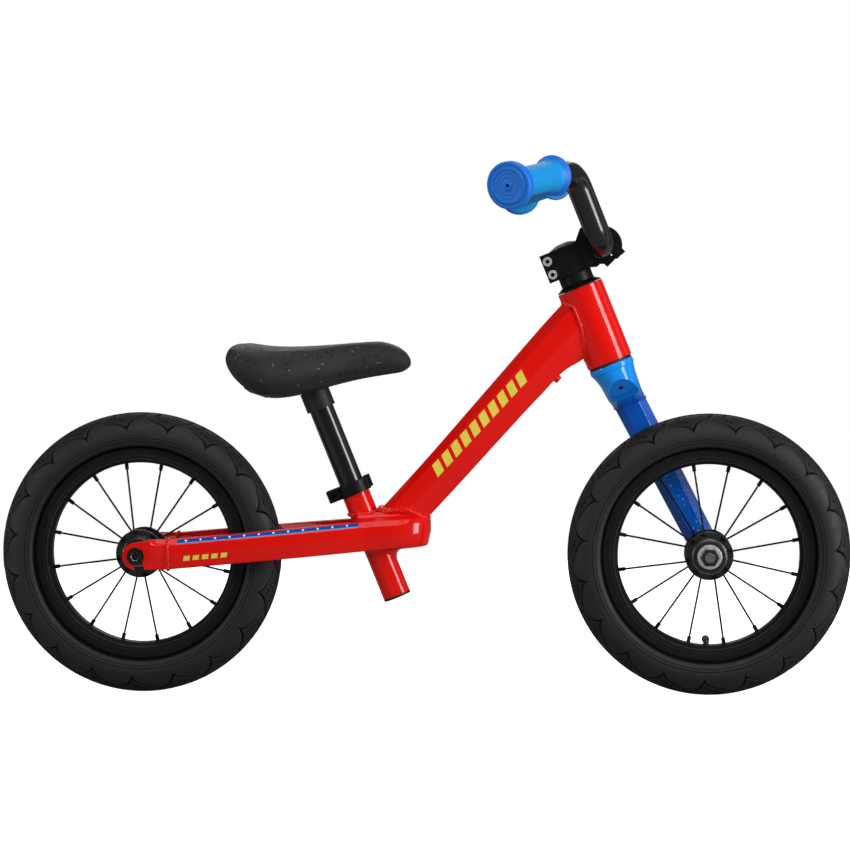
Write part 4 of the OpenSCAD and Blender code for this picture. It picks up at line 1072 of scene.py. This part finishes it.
def stroke(skin, draw):
    """One thin curved stroke laid on the skin, as a grid of points, or None where it misses."""
    back, turn, lean = draw.uniform(30, 190), draw.uniform(-40, 75), draw.uniform(0, math.pi)
    turn = math.radians(turn if draw.random() < 0.5 else 180 - turn)
    size, thick = draw.uniform(1.4, 3.4), draw.uniform(0.22, 0.38)
    out = Vector((0, math.cos(turn), math.sin(turn)))
    middle = Vector((NOSE_X - back, 0, saddle_shape([back])[0][0])) * MM
    spot, normal = skin.ray_cast(middle + out * 0.12, -out)[:2]
    if spot is None:
        return None
    u = normal.cross(Vector((0.2, 0.3, 1))).normalized()
    ahead = u * math.cos(lean) + normal.cross(u) * math.sin(lean)
    across = normal.cross(ahead)
    grid = []
    for t in np.linspace(-1, 1, 6):
        for side in (-1, 1):
            p = spot + (ahead * size * t + across * (side * thick * (1.05 - t * t) + 0.25 * size * t * t)) * MM
            q = skin.ray_cast(p + normal * 0.004, -normal)[0]
            if q is None:
                return None
            grid.append((np.array(q) + np.array(normal) * 0.00006) / MM)
    return np.reshape(grid, (6, 2, 3))


def saddle_strokes(ob):
    """Short thin strokes scattered over the cover, some dark, as painted shade of pressed-in marks, and some
    pale.
    """
    skin = BVHTree.FromObject(ob, bpy.context.evaluated_depsgraph_get())
    draw = np.random.default_rng(11)
    for word, material, amount in (("dark", pressed_mark_shade, 190), ("pale", pale_stroke_vinyl, 80)):
        drawn = [stroke(skin, draw) for _ in range(amount)]
        grids = [grid for grid in drawn if grid is not None]
        patches("saddle_strokes_" + word, grids, material, "seat", "saddle_vinyl")


saddle_strokes(saddle())


# ---------------- rounded edges on the CAD pieces
EDGES = {1.7: ["dropout_right", "dropout_left"],
         0.9: ["stem", "stem_faceplate"],
         0.7: on_wheels("hub") + ["seat_clamp"],
         0.6: ["saddle_base"],
         0.5: ["head_tube", "seat_tube_plug"],
         0.4: ["headset_spacer", "seat_tube", "front_axle_nut", "rear_axle_bolts", "front_stub_axle"],
         0.35: on_wheels("rim"),
         0.3: ["top_cap", "headset_top_cover", "front_axle_washer", "stem_pinch_bolts", "stem_faceplate_bolts",
               "seat_clamp_bolt", "top_cap_bolt"],
         0.2: ["rear_axle_washers"],
         0: ["handlebar", "seatpost", "steerer", "headset_lower_seal", "rear_axle", "rear_axle_spacers",
             "star_nut"] + on_wheels("spokes", "nipples", "valve", "inner_tube") + HEADSET + BEARINGS}
for width, names in EDGES.items():
    for name in names:
        soften(name, width)


# ---------------- floor, light and camera
def stage(radius=1500, count=96):
    """A round floor as white to the eye as the world behind it, which sheds little light on the bike."""
    corners = [(radius * math.cos(a) * MM, radius * math.sin(a) * MM, -0.0001) for a in turns(count)]
    mesh = bpy.data.meshes.new("stage")
    mesh.from_pydata(corners, [], [tuple(range(count))])
    floor = new_object("stage", mesh)
    pale, tree, shader = new_material("stage_pale")
    seen = add(tree, "LightPath", {}).outputs["Is Camera Ray"]
    feed(tree, shader, {"Base Color": mixed(tree, seen, (0.35,) * 3, (0.9,) * 3), "Roughness": 0.9,
                        "Specular IOR Level": 0.0, "Emission Color": (1, 1, 1, 1), "Emission Strength": seen})
    mesh.materials.append(pale)


def studio_world(seen, given):
    """A plain white surround: seen is its brightness to the eye, given the light that it sheds."""
    world = bpy.data.worlds.new("studio")
    world.use_nodes = True
    tree = world.node_tree
    to_eye = add(tree, "LightPath", {}).outputs["Is Camera Ray"]
    strength = spread(tree, to_eye, given, seen, 0, 1)
    feed(tree, tree.nodes["Background"], {"Color": (1, 1, 1, 1), "Strength": strength})
    bpy.context.scene.world = world


def lamp(name, at, aim, wide, tall, power):
    light = bpy.data.lights.new(name, "AREA")
    light.shape = "RECTANGLE"
    light.size = wide
    light.size_y = tall
    light.energy = power
    ob = new_object(name, light)
    ob.location = at
    ob.rotation_euler = look(at, aim)


def look(at, aim):
    """The turn of a lamp or camera at a place, so that it faces another."""
    return (Vector(aim) - Vector(at)).to_track_quat("-Z", "Y").to_euler()


def camera(at, aim, lens):
    data = bpy.data.cameras.new("camera")
    data.lens = lens
    data.sensor_width = 36
    ob = new_object("camera", data)
    ob.location = at
    ob.rotation_euler = look(at, aim)
    bpy.context.scene.camera = ob


stage()
studio_world(1.0, 0.10)
# Each lamp: its place, the point that it faces, its width and height in metres, and its power in watts
MIDDLE, TAIL_SIDE, HEAD_SIDE = (0, 0, 0.25), (-0.1, 0, 0.3), (0.1, 0, 0.3)
lamp("top", (0.0, -0.9, 2.5), MIDDLE, 2.6, 1.0, 15)
lamp("front", (0.2, -2.9, 2.1), MIDDLE, 2.2, 0.9, 30)
lamp("left_strip", (-2.5, -1.5, 0.5), MIDDLE, 0.5, 2.0, 22)
lamp("right_strip", (2.3, -1.15, 0.5), HEAD_SIDE, 0.8, 2.0, 56)
lamp("left_rim", (-2.4, 0.6, 0.4), TAIL_SIDE, 0.6, 1.8, 4)
lamp("right_rim", (2.3, 0.65, 0.4), HEAD_SIDE, 0.4, 1.8, 1.5)
lamp("back", (0.0, 1.8, 2.2), (0, 0, 0.2), 2.4, 0.9, 9)
lamp("back_fill", (-0.2, 2.9, 1.7), MIDDLE, 2.2, 0.8, 14)
camera((0.167, -3.35, 0.457), (0.0008, 0, 0.280), 137)
bpy.context.scene.view_settings.view_transform = "Standard"

bpy.context.view_layer.update()
